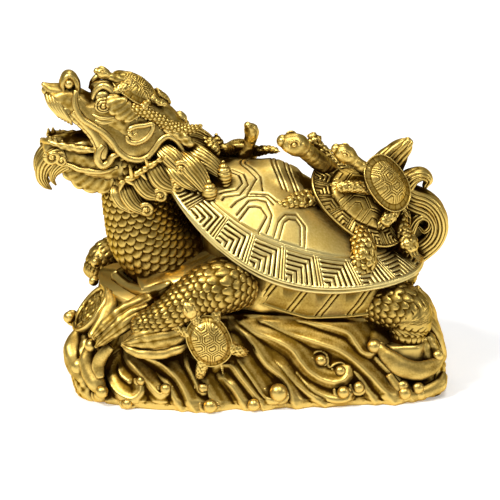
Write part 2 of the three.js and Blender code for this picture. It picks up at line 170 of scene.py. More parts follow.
def combed(count: float, depth: float) -> Relief:
    """Rounded strands that run lengthwise.

    Args:
        count: strands across one face.
        depth: mm of the grooves between them.

    Returns:
        The relief.
    """

    def relief(p: Place) -> Array:
        """Returns the height of the strands."""
        across = (np.cos(p.angle) + 0.06 * waver(p.points, 12, 3)) * 0.5
        strands = np.abs(np.sin(np.pi * (count * across + 0.5))) ** 0.7 - 1.0
        return depth * strands * smooth(np.abs(np.sin(p.angle)), 0.0, 0.25)

    return relief


def dotted(pitch: float, depth: float) -> Relief:
    """Rows of small raised dots, as on horn, a pitch apart and a depth high, in mm."""

    def relief(p: Place) -> Array:
        """Returns the height of the dots."""
        count = max(5, round(float(p.girth.mean()) / pitch))
        a = p.along / pitch
        b = p.angle / TURN * count + 0.5 * (np.floor(a) % 2)
        away = np.hypot(a - np.floor(a) - 0.5, b - np.floor(b) - 0.5)
        return depth * (1 - smooth(away, 0.15, 0.45))

    return relief


def ringed(pitch: float, depth: float) -> Relief:
    """Rings one after another along the limb."""
    return lambda p: depth * (np.abs(np.sin(np.pi * p.along / pitch)) ** 0.6 - 1.0)


def rough(depth: float, size: float, seed: int = 2) -> Relief:
    """The unevenness of a hand-worked casting."""
    return lambda p: depth * waver(p.points, size, seed)


def added(*reliefs: Relief) -> Relief:
    """Several reliefs on top of each other."""
    return lambda p: sum(relief(p) for relief in reliefs)


def through(values: Array, steps: Array) -> Array:
    """A smooth curve through rows of values.

    Args:
        values: one row of numbers for each station.
        steps: where to read it, in stations.

    Returns:
        One row of numbers for each step.
    """
    padded = np.vstack([2 * values[0] - values[1], values, 2 * values[-1] - values[-2]])
    low = np.clip(np.floor(steps).astype(int), 0, len(values) - 2)
    t = (steps - low)[:, None]
    a, b, c, d = (padded[low + i] for i in range(4))
    bend, twist = 2 * a - 5 * b + 4 * c - d, 3 * b - 3 * c + d - a
    return 0.5 * (2 * b + (c - a) * t + bend * t**2 + twist * t**3)


def vectors(members: Any, name: str) -> Array:
    """Returns one vector for each of a mesh's members, such as its vertices' co."""
    flat = np.empty(len(members) * 3, np.float32)
    members.foreach_get(name, flat)
    return flat.reshape(-1, 3)


def select_only(things: Sequence[bpy.types.Object]) -> None:
    """Selects these objects and no others, with the first one active."""
    bpy.ops.object.select_all(action="DESELECT")
    for thing in things:
        thing.select_set(True)
    bpy.context.view_layer.objects.active = things[0]


class Lump:
    """A mesh object that is made from a plane of squares and belongs to a piece."""

    def __init__(self, thing: bpy.types.Object) -> None:
        """Keeps the object that the other methods shape."""
        self.thing = thing

    @classmethod
    def wrapped(cls, points: Array) -> "Lump":
        """A closed skin from rows of points that go round.

        Args:
            points: rows by columns by 3, in grid mm. Each column joins the next, the last one the
                first, and the first and last rows each become one point.

        Returns:
            The closed skin, with its faces outwards.
        """
        first, last = (
            np.repeat(row.mean(1, keepdims=True), points.shape[1], 1)
            for row in (points[:1], points[-1:])
        )
        closed = np.concatenate([first, points, last])
        lump = cls.sheet(np.concatenate([closed, closed[:, :1]], 1))
        lump.closed()
        return lump

    @classmethod
    def sheet(cls, points: Array) -> "Lump":
        """An open skin from rows by columns of points in grid mm."""
        rows, columns = points.shape[:2]
        bpy.ops.object.select_all(action="DESELECT")
        bpy.ops.mesh.primitive_grid_add(
            x_subdivisions=columns - 1, y_subdivisions=rows - 1, size=1.0, calc_uvs=False
        )
        thing = bpy.context.object
        flat = vectors(thing.data.vertices, "co")
        column = np.rint((flat[:, 0] + 0.5) * (columns - 1)).astype(int)
        row = np.rint((flat[:, 1] + 0.5) * (rows - 1)).astype(int)
        cls.write(thing, points[row, column])
        return cls(thing)

    @staticmethod
    def write(thing: bpy.types.Object, places: Array) -> None:
        """Puts the vertices at places in grid mm."""
        thing.data.vertices.foreach_set("co", ((places + GRID_ORIGIN) * MM).astype(np.float32).ravel())
        thing.data.update()

    def read(self) -> Array:
        """Returns the vertices' places in grid mm."""
        return vectors(self.thing.data.vertices, "co") / MM - GRID_ORIGIN

    def closed(self) -> None:
        """Merges the seam and the poles, and turns the faces outwards."""
        bpy.ops.object.mode_set(mode="EDIT")
        bpy.ops.mesh.select_all(action="SELECT")
        bpy.ops.mesh.remove_doubles(threshold=2e-6)
        bpy.ops.mesh.normals_make_consistent(inside=False)
        bpy.ops.object.mode_set(mode="OBJECT")

    @classmethod
    def ball(cls, centre: Station, radii: Sequence[float], level: int = 4) -> "Lump":
        """An egg of three half-sizes, finer at a higher level."""
        bpy.ops.object.select_all(action="DESELECT")
        bpy.ops.mesh.primitive_ico_sphere_add(subdivisions=level, radius=1.0, calc_uvs=False)
        lump = cls(bpy.context.object)
        directions = vectors(lump.thing.data.vertices, "co")
        cls.write(lump.thing, np.array(centre) + directions * np.array(radii, float))
        return lump


def limb(
    stations: Sequence[Station],
    up: Sequence[float] = (0, 0, 1),
    power: float = 2.0,
    step: float = 0.4,
    relief: Optional[Relief] = None,
    tips: tuple[float, float] = (0.3, 1.0),
) -> Lump:
    """A tapering limb.

    Args:
        stations: rows of x, y, z, half width and half height in grid mm.
        up: the direction that the height leans to.
        power: of the section, 2 being an ellipse and more a rounded block.
        step: mm between its points.
        relief: what is raised on it, in mm.
        tips: how far its two ends bulge, as shares of their half heights.

    Returns:
        The closed limb.
    """
    rows = np.array([[*s[:3], s[3], s[4] if len(s) > 4 else s[3]] for s in stations], float)
    fine = through(rows, np.linspace(0, len(rows) - 1, 40 * len(rows)))
    lengths = np.concatenate([[0.0], np.cumsum(np.linalg.norm(np.diff(fine[:, :3], axis=0), axis=1))])
    count = max(6, int(lengths[-1] / step))
    at = np.interp(
        np.linspace(0, lengths[-1], count + 1), lengths, np.linspace(0, len(rows) - 1, len(lengths))
    )
    path = through(rows, at)
    sizes = np.maximum(path[:, 3:], 0.15)
    ahead = unit(np.gradient(path[:, :3], axis=0))
    columns = max(10, int(math.pi * 1.1 * float(sizes.sum(1).max()) / step))
    turns = TURN * (np.arange(columns) + 0.5) / columns
    ends = zip(sizes[[0, -1], 1], tips)
    lead, trail = (max(3, int(1.2 * height * max(bulge, 0.3) / step)) for height, bulge in ends)
    rise = np.arange(1, lead) * (math.pi / 2) / lead
    fall = np.arange(1, trail) * (math.pi / 2) / trail
    index = np.concatenate([np.zeros(len(rise), int), np.arange(count + 1), np.full(len(fall), count)])
    share = np.concatenate([np.cos(rise[::-1]), np.ones(count + 1), np.cos(fall)])
    bulges = [-tips[0] * np.sin(rise[::-1]), np.zeros(count + 1), tips[1] * np.sin(fall)]
    shift = np.concatenate(bulges) * sizes[index, 1]
    ahead, sizes, centre = ahead[index], sizes[index], path[index, :3] + ahead[index] * shift[:, None]
    side = unit(np.cross(ahead, np.array(up, float)))
    top = np.cross(side, ahead)
    c, s = np.cos(turns), np.sin(turns)
    reach = (np.abs(c) ** power + np.abs(s) ** power) ** (-1 / power)
    wide = (share * sizes[:, 0])[:, None] * (reach * c)
    high = (share * sizes[:, 1])[:, None] * (reach * s)
    points = centre[:, None] + wide[..., None] * side[:, None] + high[..., None] * top[:, None]
    if relief:
        along = np.linspace(0, lengths[-1], count + 1)[index] + shift
        girth = (math.pi * sizes.sum(1))[:, None] * np.ones(columns)
        place = Place(
            along[:, None] * np.ones(columns),
            np.clip(along / lengths[-1], 0, 1)[:, None] * np.ones(columns),
            turns[None] * np.ones((len(index), 1)),
            girth,
            points,
        )
        outward = unit(
            (np.sign(c) * np.abs(c * reach) ** (power - 1) / sizes[:, :1])[..., None] * side[:, None]
            + (np.sign(s) * np.abs(s * reach) ** (power - 1) / sizes[:, 1:])[..., None] * top[:, None]
        )
        fade = np.minimum(1.0, share * 1.6)[:, None]
        points = points + (relief(place) * fade)[..., None] * outward
    return Lump.wrapped(points)


def both(stations: Sequence[Station], **options: Any) -> list[Lump]:
    """The same limb on both flanks."""
    return [limb(stations, **options), limb(mirrored(stations), **options)]


class Piece:
    """One visible piece: its lumps joined, its hollows measured and its finish put on."""

    made: list["Piece"] = []

    def __init__(self, name: str, lumps: Sequence[Lump], finish: "Finish") -> None:
        """Joins the lumps under a name and takes note of the finish."""
        select_only([lump.thing for lump in lumps])
        if len(lumps) > 1:
            bpy.ops.object.join()
        self.thing = bpy.context.view_layer.objects.active
        self.thing.name = name
        self.finish = finish
        Lump.write(self.thing, np.maximum(self.places(), (-np.inf, -np.inf, 0.0)))  # nothing below the foot
        select_only([self.thing])
        bpy.ops.object.shade_smooth()
        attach(self.thing, "root")
        Piece.made.append(self)
        log.info("%s: %d faces", name, len(self.thing.data.polygons))

    def thin(self, share: float) -> None:
        """Leaves out faces where the surface is smooth, down to a share of them."""
        select_only([self.thing])
        fewer = self.thing.modifiers.new("fewer faces", "DECIMATE")
        fewer.ratio = share
        bpy.ops.object.modifier_apply(modifier=fewer.name)

    def places(self) -> Array:
        """Returns the vertices' places in grid mm."""
        return Lump(self.thing).read()

    def normals(self) -> Array:
        """Returns the vertices' normals."""
        return vectors(self.thing.data.vertex_normals, "vector")

    def hollows(self, rounds: int) -> Array:
        """How deep each point lies below the smoothed surface round it.

        Args:
            rounds: how far the surface is smoothed.

        Returns:
            mm below it, less than nothing on a ridge.
        """
        mesh = self.thing.data
        ends = np.empty(len(mesh.edges) * 2, np.int32)
        mesh.edges.foreach_get("vertices", ends)
        a, b = ends.reshape(-1, 2).T
        count = len(mesh.vertices)
        here, beside = np.concatenate([a, b]), np.concatenate([b, a])
        near = np.maximum(np.bincount(here, minlength=count), 1)
        start = self.places()
        now = start.copy()
        for _ in range(rounds):
            mean = [np.bincount(here, now[beside, i], count) / near for i in range(3)]
            now = 0.3 * now + 0.7 * np.stack(mean, -1)
        return ((now - start) * self.normals()).sum(-1)

    def mark(self, name: str, values: Array) -> None:
        """Keeps a number for each vertex, for the finish to read."""
        layer = self.thing.data.attributes.new(name, "FLOAT", "POINT")
        layer.data.foreach_set("value", values.astype(np.float32))


class Shadow:
    """Where the figure's own forms crowd together and light doesn't reach, for the painted shade in the gaps.
    """

    CELL = 1.3  # mm
    ROOM = 12  # mm of empty grid round the figure
    LOOKS = ((3.4, 0.45), (5.6, 0.35), (8.5, 0.3), (12, 0.25))  # mm off the surface, and its weight
    GAIN = 2.4  # on the filled share of a cell

    def __init__(self, places: Sequence[Array]) -> None:
        """Fills a grid with the surfaces and spreads it."""
        every = np.concatenate(places)
        self.low = every.min(0) - self.ROOM
        shape = np.ceil((every.max(0) + self.ROOM - self.low) / self.CELL).astype(int)
        self.grid = np.zeros(shape, np.float32)
        self.grid[tuple(((every - self.low) / self.CELL).astype(int).T)] = 1.0
        for axis in range(3):
            self.grid = sum(np.roll(self.grid, k, axis) for k in (-1, 0, 1)) / 3.0

    def at(self, places: Array, normals: Array) -> Array:
        """Returns 0 in the open to about 1 in a deep gap."""
        total = np.zeros(len(places))
        for away, weight in self.LOOKS:
            cell = ((places + normals * away - self.low) / self.CELL).astype(int)
            cell = np.clip(cell, 0, np.array(self.grid.shape) - 1)
            total += weight * np.minimum(1.0, self.GAIN * self.grid[tuple(cell.T)])
        return np.clip(total, 0, 1)


@dataclass(frozen=True)
class Wire:
    """A socket in a node tree, with arithmetic on it. Each operation adds a Math node."""

    tree: bpy.types.NodeTree
    socket: bpy.types.NodeSocket

    def _math(self, operation: str, a: "Number", b: "Number") -> "Wire":
        """Returns the result of one Math node."""
        return node(self.tree, "ShaderNodeMath", {"operation": operation}, {0: a, 1: b})

    def __add__(self, other: "Number") -> "Wire":
        """Returns the sum."""
        return self._math("ADD", self, other)

    def __radd__(self, other: float) -> "Wire":
        """Returns the sum."""
        return self._math("ADD", other, self)

    def __sub__(self, other: "Number") -> "Wire":
        """Returns the difference."""
        return self._math("SUBTRACT", self, other)

    def __rsub__(self, other: float) -> "Wire":
        """Returns the difference."""
        return self._math("SUBTRACT", other, self)

    def __mul__(self, other: "Number") -> "Wire":
        """Returns the product."""
        return self._math("MULTIPLY", self, other)

    def __rmul__(self, other: float) -> "Wire":
        """Returns the product."""
        return self._math("MULTIPLY", other, self)

    def clipped(self, low: float, high: float) -> "Wire":
        """Returns the value carried from low..high to 0..1, and no further."""
        ranges = {"From Min": low, "From Max": high}
        return node(self.tree, "ShaderNodeMapRange", {"clamp": True}, {"Value": self, **ranges})


Number = Union[Wire, float]


def node(
    tree: bpy.types.NodeTree,
    kind: str,
    settings: dict[str, Any],
    inputs: dict[Any, Any],
    output: Any = 0,
) -> Wire:
    """Adds a node.

    Args:
        tree: where to.
        kind: the node's type.
        settings: its properties, set first.
        inputs: a value or a Wire for each socket, by its name or number.
        output: the name or number of the socket that is wanted.

    Returns:
        That output.
    """
    made = tree.nodes.new(kind)
    for name, value in settings.items():
        setattr(made, name, value)
    for name, value in inputs.items():
        if isinstance(value, Wire):
            tree.links.new(value.socket, made.inputs[name])
        else:
            made.inputs[name].default_value = value
    return Wire(tree, made.outputs[output])


@dataclass(frozen=True)
class Finish:
    """Cast brass: bright where hands and the brush reach it, brown and dull in its hollows, with painted
    shade where its forms crowd together.
    """

    name: str
    bright: tuple[float, float, float] = (0.8, 0.57, 0.155)
    body: tuple[float, float, float] = (0.285, 0.162, 0.017)
    # the patina's dark colour in the hollows, also the painted shade in the gaps between forms
    deep: tuple[float, float, float] = (0.06, 0.026, 0.002)
    stain: tuple[float, float, float] = (0.34, 0.25, 0.12)
    stained: float = 0.25  # how much of it is stained, 0 to 1
    polish: float = 0.33  # roughness of the bright parts
    dull: float = 0.62  # roughness in the hollows
    grain: float = 0.35  # strength of the casting's grain
    bump_height: float = 0.00012  # m
    glancing: tuple[float, float, float] = (0.85, 0.62, 0.3)  # tint of its edges
    brushed: float = 0.0  # strength of fine scratches
    scratch_scale: tuple[float, float, float] = (900.0, 140.0, 500.0)  # hills to the metre, each way

    def material(self) -> bpy.types.Material:
        """Returns the finish as a material of nodes."""
        material = bpy.data.materials.new(self.name)
        material.use_nodes = True
        tree = material.node_tree
        tree.nodes.clear()
        where = node(tree, "ShaderNodeTexCoord", {}, {}, "Object")

        def noise(scale: float, detail: float = 3.0, vector: Wire = where) -> Wire:
            """Returns soft noise of that many hills to the metre."""
            sockets = {"Vector": vector, "Scale": scale, "Detail": detail, "Roughness": 0.6}
            return node(tree, "ShaderNodeTexNoise", {}, sockets, "Fac")

        def mixed(share: Number, first: Any, second: Any) -> Wire:
            """Returns two colours mixed."""
            settings = {"data_type": "RGBA", "clamp_factor": True}
            return node(tree, "ShaderNodeMix", settings, {0: share, 6: first, 7: second}, 2)

        hollow = node(tree, "ShaderNodeAttribute", {"attribute_name": "hollow"}, {}, "Fac")
        # how closely other forms hem in each point, read as painted shade
        gap = node(tree, "ShaderNodeAttribute", {"attribute_name": "gap"}, {}, "Fac")
        ridge = node(tree, "ShaderNodeAttribute", {"attribute_name": "ridge"}, {}, "Fac")
        cloud, speck = noise(110.0), noise(1300.0, 2.0)
        # patina in the hollows plus painted shade in the gaps, with noise; also rougher there
        patina_and_shade = (hollow + gap * (0.7 + 0.6 * cloud) + 0.4 * (cloud - 0.5)).clipped(0.1, 0.85)
        worn = (ridge + 0.6 * (speck - 0.5) + 0.5 * (cloud - 0.5)).clipped(0.1, 0.75)
        stains = noise(60.0, 4.0).clipped(0.62 - 0.25 * self.stained, 0.78) * self.stained
        colour = mixed(worn, (*self.body, 1.0), (*self.bright, 1.0))
        colour = mixed(stains * (1.0 - 0.7 * worn), colour, (*self.stain, 1.0))
        # darkens towards the deep colour: patina in the hollows, painted shade in the gaps
        colour = mixed(patina_and_shade, colour, (*self.deep, 1.0))
        roughness = self.polish + (self.dull - self.polish) * patina_and_shade + 0.13 * (1.0 - worn) + 0.1 * (speck - 0.5)
        relief = noise(1500.0, 2.0) * 0.5 + noise(3800.0, 1.0) * 0.3
        if self.brushed:
            sizes = {"Vector": where, "Scale": self.scratch_scale}
            stretched = node(tree, "ShaderNodeMapping", {"vector_type": "POINT"}, sizes)
            relief = relief + self.brushed * noise(4.0, 2.0, stretched)
        bump_inputs = {"Strength": self.grain, "Distance": self.bump_height, "Height": relief}
        bump = node(tree, "ShaderNodeBump", {}, bump_inputs)
        surface = {
            "Base Color": colour,
            "Metallic": 1.0,
            "Specular Tint": (*self.glancing, 1.0),
            "Roughness": roughness,
            "Normal": bump,
        }
        shader = node(tree, "ShaderNodeBsdfPrincipled", {}, surface)
        output = tree.nodes.new("ShaderNodeOutputMaterial")
        tree.links.new(shader.socket, output.inputs["Surface"])
        return material


CAST = Finish("cast_brass")
SHELL_FINISH = Finish(
    "brushed_brass",
    bright=(0.88, 0.7, 0.26),
    body=(0.58, 0.39, 0.085),
    stained=0.55,
    polish=0.34,
    brushed=0.8,
    grain=0.28,
)
HEAD_FINISH = replace(
    CAST, name="worn_brass", bright=(0.76, 0.55, 0.16), body=(0.29, 0.17, 0.02), polish=0.34
)
SCALE_FINISH = replace(CAST, name="scale_brass", body=(0.15, 0.08, 0.007), bright=(0.6, 0.41, 0.1))
WALL_FINISH = replace(
    CAST, name="wall_brass", body=(0.22, 0.12, 0.012), bright=(0.6, 0.41, 0.095), brushed=0.7, stained=0.5
)
WATER_FINISH = replace(
    CAST,
    name="wave_brass",
    body=(0.24, 0.132, 0.012),
    bright=(0.74, 0.52, 0.14),
    # darker patina in the waves' hollows, and darker painted shade in their gaps
    deep=(0.045, 0.018, 0.0015),
    polish=0.38,
)


FINE_HOLLOW = (3, 0.09, 0.5)  # rounds of smoothing, mm that count as deep, weight
BROAD_HOLLOW = (16, 0.32, 0.6)


def dress_all() -> None:
    """Measures every piece's hollows, ridges and gaps, and puts its finish on; the gaps give painted shade.
    """
    places = {piece.thing.name: piece.places() for piece in Piece.made}
    shadow = Shadow(list(places.values()))
    materials: dict[str, bpy.types.Material] = {}
    for piece in Piece.made:
        depth = sum(
            piece.hollows(rounds) / deep * weight
            for rounds, deep, weight in (FINE_HOLLOW, BROAD_HOLLOW)
        )
        piece.mark("hollow", np.clip(depth, 0, 1))
        piece.mark("ridge", np.clip(-depth * 0.9 + 0.25, 0, 1))
        # painted shade where the figure's forms crowd together
        piece.mark("gap", shadow.at(places[piece.thing.name], piece.normals()))
        finish = piece.finish
        if finish.name not in materials:
            materials[finish.name] = finish.material()
        piece.thing.data.materials.clear()
        piece.thing.data.materials.append(materials[finish.name])
        piece.thin(KEPT_SHARE)
        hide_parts(NODE)


LIT_PLACE = (0.0, 0.0, 0.05)  # m, what the lamps face


@dataclass(frozen=True)
class Lamp:
    """A square soft lamp that faces the figure."""

    azimuth: float  # degrees round from the camera, to the right
    elevation: float  # degrees above the floor
    away: float  # m from the figure
    size: float  # m across
    power: float  # W

    def hang(self, camera_azimuth: float) -> None:
        """Puts the lamp up, seen from a camera at that azimuth."""
        a, e = math.radians(self.azimuth - 90 + camera_azimuth), math.radians(self.elevation)
        out = Vector((math.cos(a) * math.cos(e), math.sin(a) * math.cos(e), math.sin(e)))
        bpy.ops.object.light_add(type="AREA", location=Vector(LIT_PLACE) + out * self.away)
        lamp = bpy.context.object
        lamp.rotation_euler = (-out).to_track_quat("-Z", "Y").to_euler()
        lamp.data.size, lamp.data.energy = self.size, self.power


LAMPS = (
    Lamp(-55, 52, 0.9, 0.22, 6.2),
    Lamp(30, 66, 0.9, 0.3, 3.0),
    Lamp(80, 22, 1.0, 0.15, 0.9),
    Lamp(-15, 14, 1.1, 0.15, 0.5),
    Lamp(180, 55, 1.0, 0.5, 2.4),
)
PIXEL = 0.357  # mm at the figure for one pixel of the photograph
PHOTO_WIDTH = 500  # pixels
MIDDLE_ABOVE_FOOT = 119  # pixels, from the figure's foot to the photograph's middle


@dataclass
class Studio:
    """The pale floor, the soft lamps and the camera."""

    azimuth: float = -5.0  # degrees
    elevation: float = 20.0
    distance: float = 6.0  # m
    sensor: float = 36.0  # mm
    clip: tuple[float, float] = (0.05, 60.0)  # m, the nearest and the farthest that is seen
    floor_size: float = 60.0  # m
    paper: float = 0.95  # how pale the floor is
    paper_glow: float = 0.25
    surroundings: float = 0.2  # strength of the white round the scene

    def aim(self) -> tuple[Vector, Vector]:
        """Returns the place the camera looks at and the direction it looks in."""
        a, e = math.radians(self.azimuth), math.radians(self.elevation)
        into = Vector((-math.sin(a) * math.cos(e), math.cos(a) * math.cos(e), -math.sin(e)))
        right = Vector((math.cos(a), math.sin(a), 0.0))
        foot = Vector(GRID_ORIGIN * MM)
        return foot + right.cross(into) * (PIXEL * MIDDLE_ABOVE_FOOT * MM), into

    def camera(self) -> None:
        """Sets a long lens at the photograph's angle."""
        target, into = self.aim()
        bpy.ops.object.camera_add(location=target - into * self.distance)
        camera = bpy.context.object
        camera.rotation_euler = into.to_track_quat("-Z", "Y").to_euler()
        camera.data.sensor_width = self.sensor
        camera.data.lens = self.sensor * self.distance / (PIXEL * PHOTO_WIDTH * MM)
        camera.data.clip_start, camera.data.clip_end = self.clip
        bpy.context.scene.camera = camera

    def floor(self) -> None:
        """Lays the sheet of white paper that the figure stands on."""
        bpy.ops.mesh.primitive_plane_add(size=self.floor_size, location=(0, 0, -0.0001))
        floor = bpy.context.object
        floor.name = "floor"
        paper = bpy.data.materials.new("white_paper")
        paper.use_nodes = True
        shader = paper.node_tree.nodes["Principled BSDF"]
        shader.inputs["Base Color"].default_value = (self.paper, self.paper, self.paper, 1)
        shader.inputs["Emission Color"].default_value = (1, 1, 1, 1)
        shader.inputs["Emission Strength"].default_value = self.paper_glow
        shader.inputs["Roughness"].default_value = 0.9
        floor.data.materials.append(paper)

    def build(self) -> None:
        """Makes the camera, the lamps, the floor and the pale surroundings."""
        self.camera()
        for lamp in LAMPS:
            lamp.hang(self.azimuth)
        self.floor()
        world = bpy.data.worlds.new("studio")
        world.use_nodes = True
        world.node_tree.nodes["Background"].inputs["Color"].default_value = (1, 1, 1, 1)
        world.node_tree.nodes["Background"].inputs["Strength"].default_value = self.surroundings
        bpy.context.scene.world = world
        bpy.context.scene.view_settings.view_transform = "Standard"


def rim_height(x: Array) -> Array:
    """Returns the height of the big shell's rim, mm, at a place along the figure."""
    return RIM_LEVEL + RIM_RISE * np.maximum(0.0, (RIM_LEVEL_FROM - x) / RIM_SPAN) ** RIM_POWER


def dome_height(x: Array) -> Array:
    """Returns how far the big shell's top stands above its rim, mm."""
    return DOME_HEIGHT - DOME_FALL * smooth(x, *DOME_FALLS_BETWEEN)


def oblong(turn: Array, half_length: Any, half_width: Any, power: float) -> tuple[Array, Array]:
    """Returns the x and y of points round a rounded oblong."""
    c, s = np.cos(turn), np.sin(turn)
    reach = (np.abs(c) ** power + np.abs(s) ** power) ** (-1.0 / power)
    return half_length * reach * c, half_width * reach * s


def disc_grid(rows: int, columns: int) -> tuple[Array, Array]:
    """A square grid pressed into a round one.

    Args:
        rows: of points.
        columns: of points.

    Returns:
        The share of the radius and the turn of each of its points.
    """
    v, u = np.meshgrid(np.linspace(-1, 1, rows), np.linspace(-1, 1, columns), indexing="ij")
    x, y = u * np.sqrt(1 - v * v / 2), v * np.sqrt(1 - u * u / 2)
    return np.hypot(x, y), np.arctan2(y, x)


def scutes(points: Array, centres: Array, insets: Sequence[float], width: float, depth: float) -> Array:
    """Lines cut inside the edges of cells.

    Args:
        points: places in mm.
        centres: the middles of the cells in mm.
        insets: mm from a cell's edge to each of its lines.
        width: mm that a line is wide.
        depth: mm that it is deep.

    Returns:
        The relief, mm, less than nothing in a line.
    """
    away = np.stack([((points - c) ** 2).sum(-1) for c in centres])
    nearest = away.argmin(0)
    least = away.min(0)
    edge = np.full(least.shape, 1e9)
    for i, centre in enumerate(centres):
        gap = np.linalg.norm(centres[nearest] - centre, axis=-1)
        distance = np.where(nearest == i, 1e9, (away[i] - least) / (2 * np.maximum(gap, 1e-6)))
        edge = np.minimum(edge, distance)
    return -depth * np.minimum(sum(line(edge - inset, width) for inset in insets), 1.0)


def strokes(points: Array, paths: Sequence[Sequence[tuple[float, float]]], width: float) -> Array:
    """Lines cut along paths of the plan.

    Args:
        points: places in mm.
        paths: x and y of the paths' corners in mm.
        width: mm that a line is wide.

    Returns:
        1 on a line and 0 away from it.
    """
    best = np.full(points.shape[:-1], 1e9)
    plan = points[..., :2]
    for path in paths:
        for a, b in zip(np.array(path[:-1]), np.array(path[1:])):
            share = np.clip(((plan - a) @ (b - a)) / ((b - a) @ (b - a)), 0, 1)
            best = np.minimum(best, np.linalg.norm(plan - a - share[..., None] * (b - a), axis=-1))
    return line(best, width)


def fret(
    along: Array,
    inward: Array,
    panel: float,
    reach: float,
    pitch: float = 2.1,
    depth: float = 0.5,
) -> Array:
    """Nested angles of a shell's margin: each panel has strokes that go down one edge and along its top.

    Args:
        along: mm round the margin.
        inward: mm from the frets' inner edge, towards the rim.
        panel: mm from one panel to the next.
        reach: mm from the inner edge to the plain lip.
        pitch: mm from one stroke to the next.
        depth: mm that the strokes are cut.

    Returns:
        The relief, mm, less than nothing in a stroke.
    """
    x = along % panel
    side = np.minimum(x, panel - x)
    thin = 0.13 * pitch
    between = line(side - 0.02 * pitch, thin) + line(side - 0.55 * pitch, thin)
    nested = np.minimum(x - 0.55 * pitch, inward)
    stroke = np.abs((nested / pitch + 0.5) % 1.0 - 0.5)
    inside = (side > 0.7 * pitch) * (nested > -0.3 * pitch) * smooth(reach - inward, 0.0, 0.3)
    cut = smooth(-stroke, -0.24, -0.13) * inside
    cut = np.maximum(cut, between * (inward > 0) * smooth(reach - inward, 0.0, 0.25))
    return -depth * np.minimum(cut, 1.0)


ARCHES = (  # mm: x and y of the lines cut in the dome's left half
    ((-6.8, -23.9), (-2.1, -19.3), (0.9, -18.7), (4.1, -18.9), (5.9, -22.4), (4.8, -25.2), (3.5, -27.3)),
    ((-6.0, -25.3), (-2.3, -21.3), (0.0, -20.9), (2.1, -21.0), (4.0, -23.2), (0.7, -27.5)),
    ((6.1, -27.9), (8.1, -23.6), (10.5, -21.3), (14.6, -20.3), (17.8, -22.8), (17.1, -28.3)),
    ((8.0, -28.1), (10.0, -23.5), (11.9, -22.2), (14.4, -21.8), (15.9, -23.3), (15.5, -28.1)),
    ((-11.6, -19.8), (-10.8, -18.6), (-5.3, -17.7), (-1.8, -13.6), (-3.1, -8.3), (-6.8, -5.6), (-11.0, -6.0)),
    ((-12.4, -17.6), (-10.6, -16.8), (-6.3, -16.0), (-3.9, -13.2), (-4.9, -9.4), (-7.6, -7.6), (-11.4, -8.2)),
    ((-8.6, -21.8), (-6.4, -19.9), (-2.7, -17.9), (1.5, -10.7), (-0.7, -7.1), (-3.1, -2.5), (-3.6, 0.0)),
    ((-2.7, -17.9), (0.8, -17.5), (4.2, -17.2), (6.7, -19.3)),
    ((-1.6, -16.9), (5.0, -16.5), (7.6, -18.0), (9.6, -18.4)),
    ((3.2, -15.4), (3.0, -9.6), (0.9, -5.8), (-1.4, -1.6), (-1.8, 0.0)),
    ((-14.0, -14.0), (-15.6, -9.0), (-13.0, -4.0), (-12.6, 0.0)),
)
REAR_ARCHES = (
    ((33.0, -27.6), (35.0, -22.4), (38.0, -20.6), (42.0, -20.4), (44.4, -23.0), (43.8, -26.0)),
    ((35.0, -27.6), (36.8, -23.2), (38.8, -21.9), (41.4, -21.8), (42.6, -23.6), (42.0, -26.6)),
    ((25.0, -12.0), (29.5, -9.0), (36.0, -9.4), (40.0, -13.0), (38.6, -17.4), (28.0, -17.0), (25.0, -12.0)),
    ((43.0, -17.0), (45.4, -11.0), (50.0, -9.6), (51.6, -6.0), (51.8, 0.0)),
    ((27.0, 0.0), (27.4, -4.4), (31.0, -7.0), (38.0, -7.2), (41.8, -4.6), (42.0, 0.0)),
)
FAR_ARCHES = tuple(tuple((x + 13.0, y) for x, y in path) for path in ARCHES[2:4])
SPINE_LINES = tuple(
    tuple((x + SPINE_BEND * y * y, y) for y in np.linspace(-13.2, 13.2, 9)) for x in (7.6, 9.2, 12.2, 13.8)
)


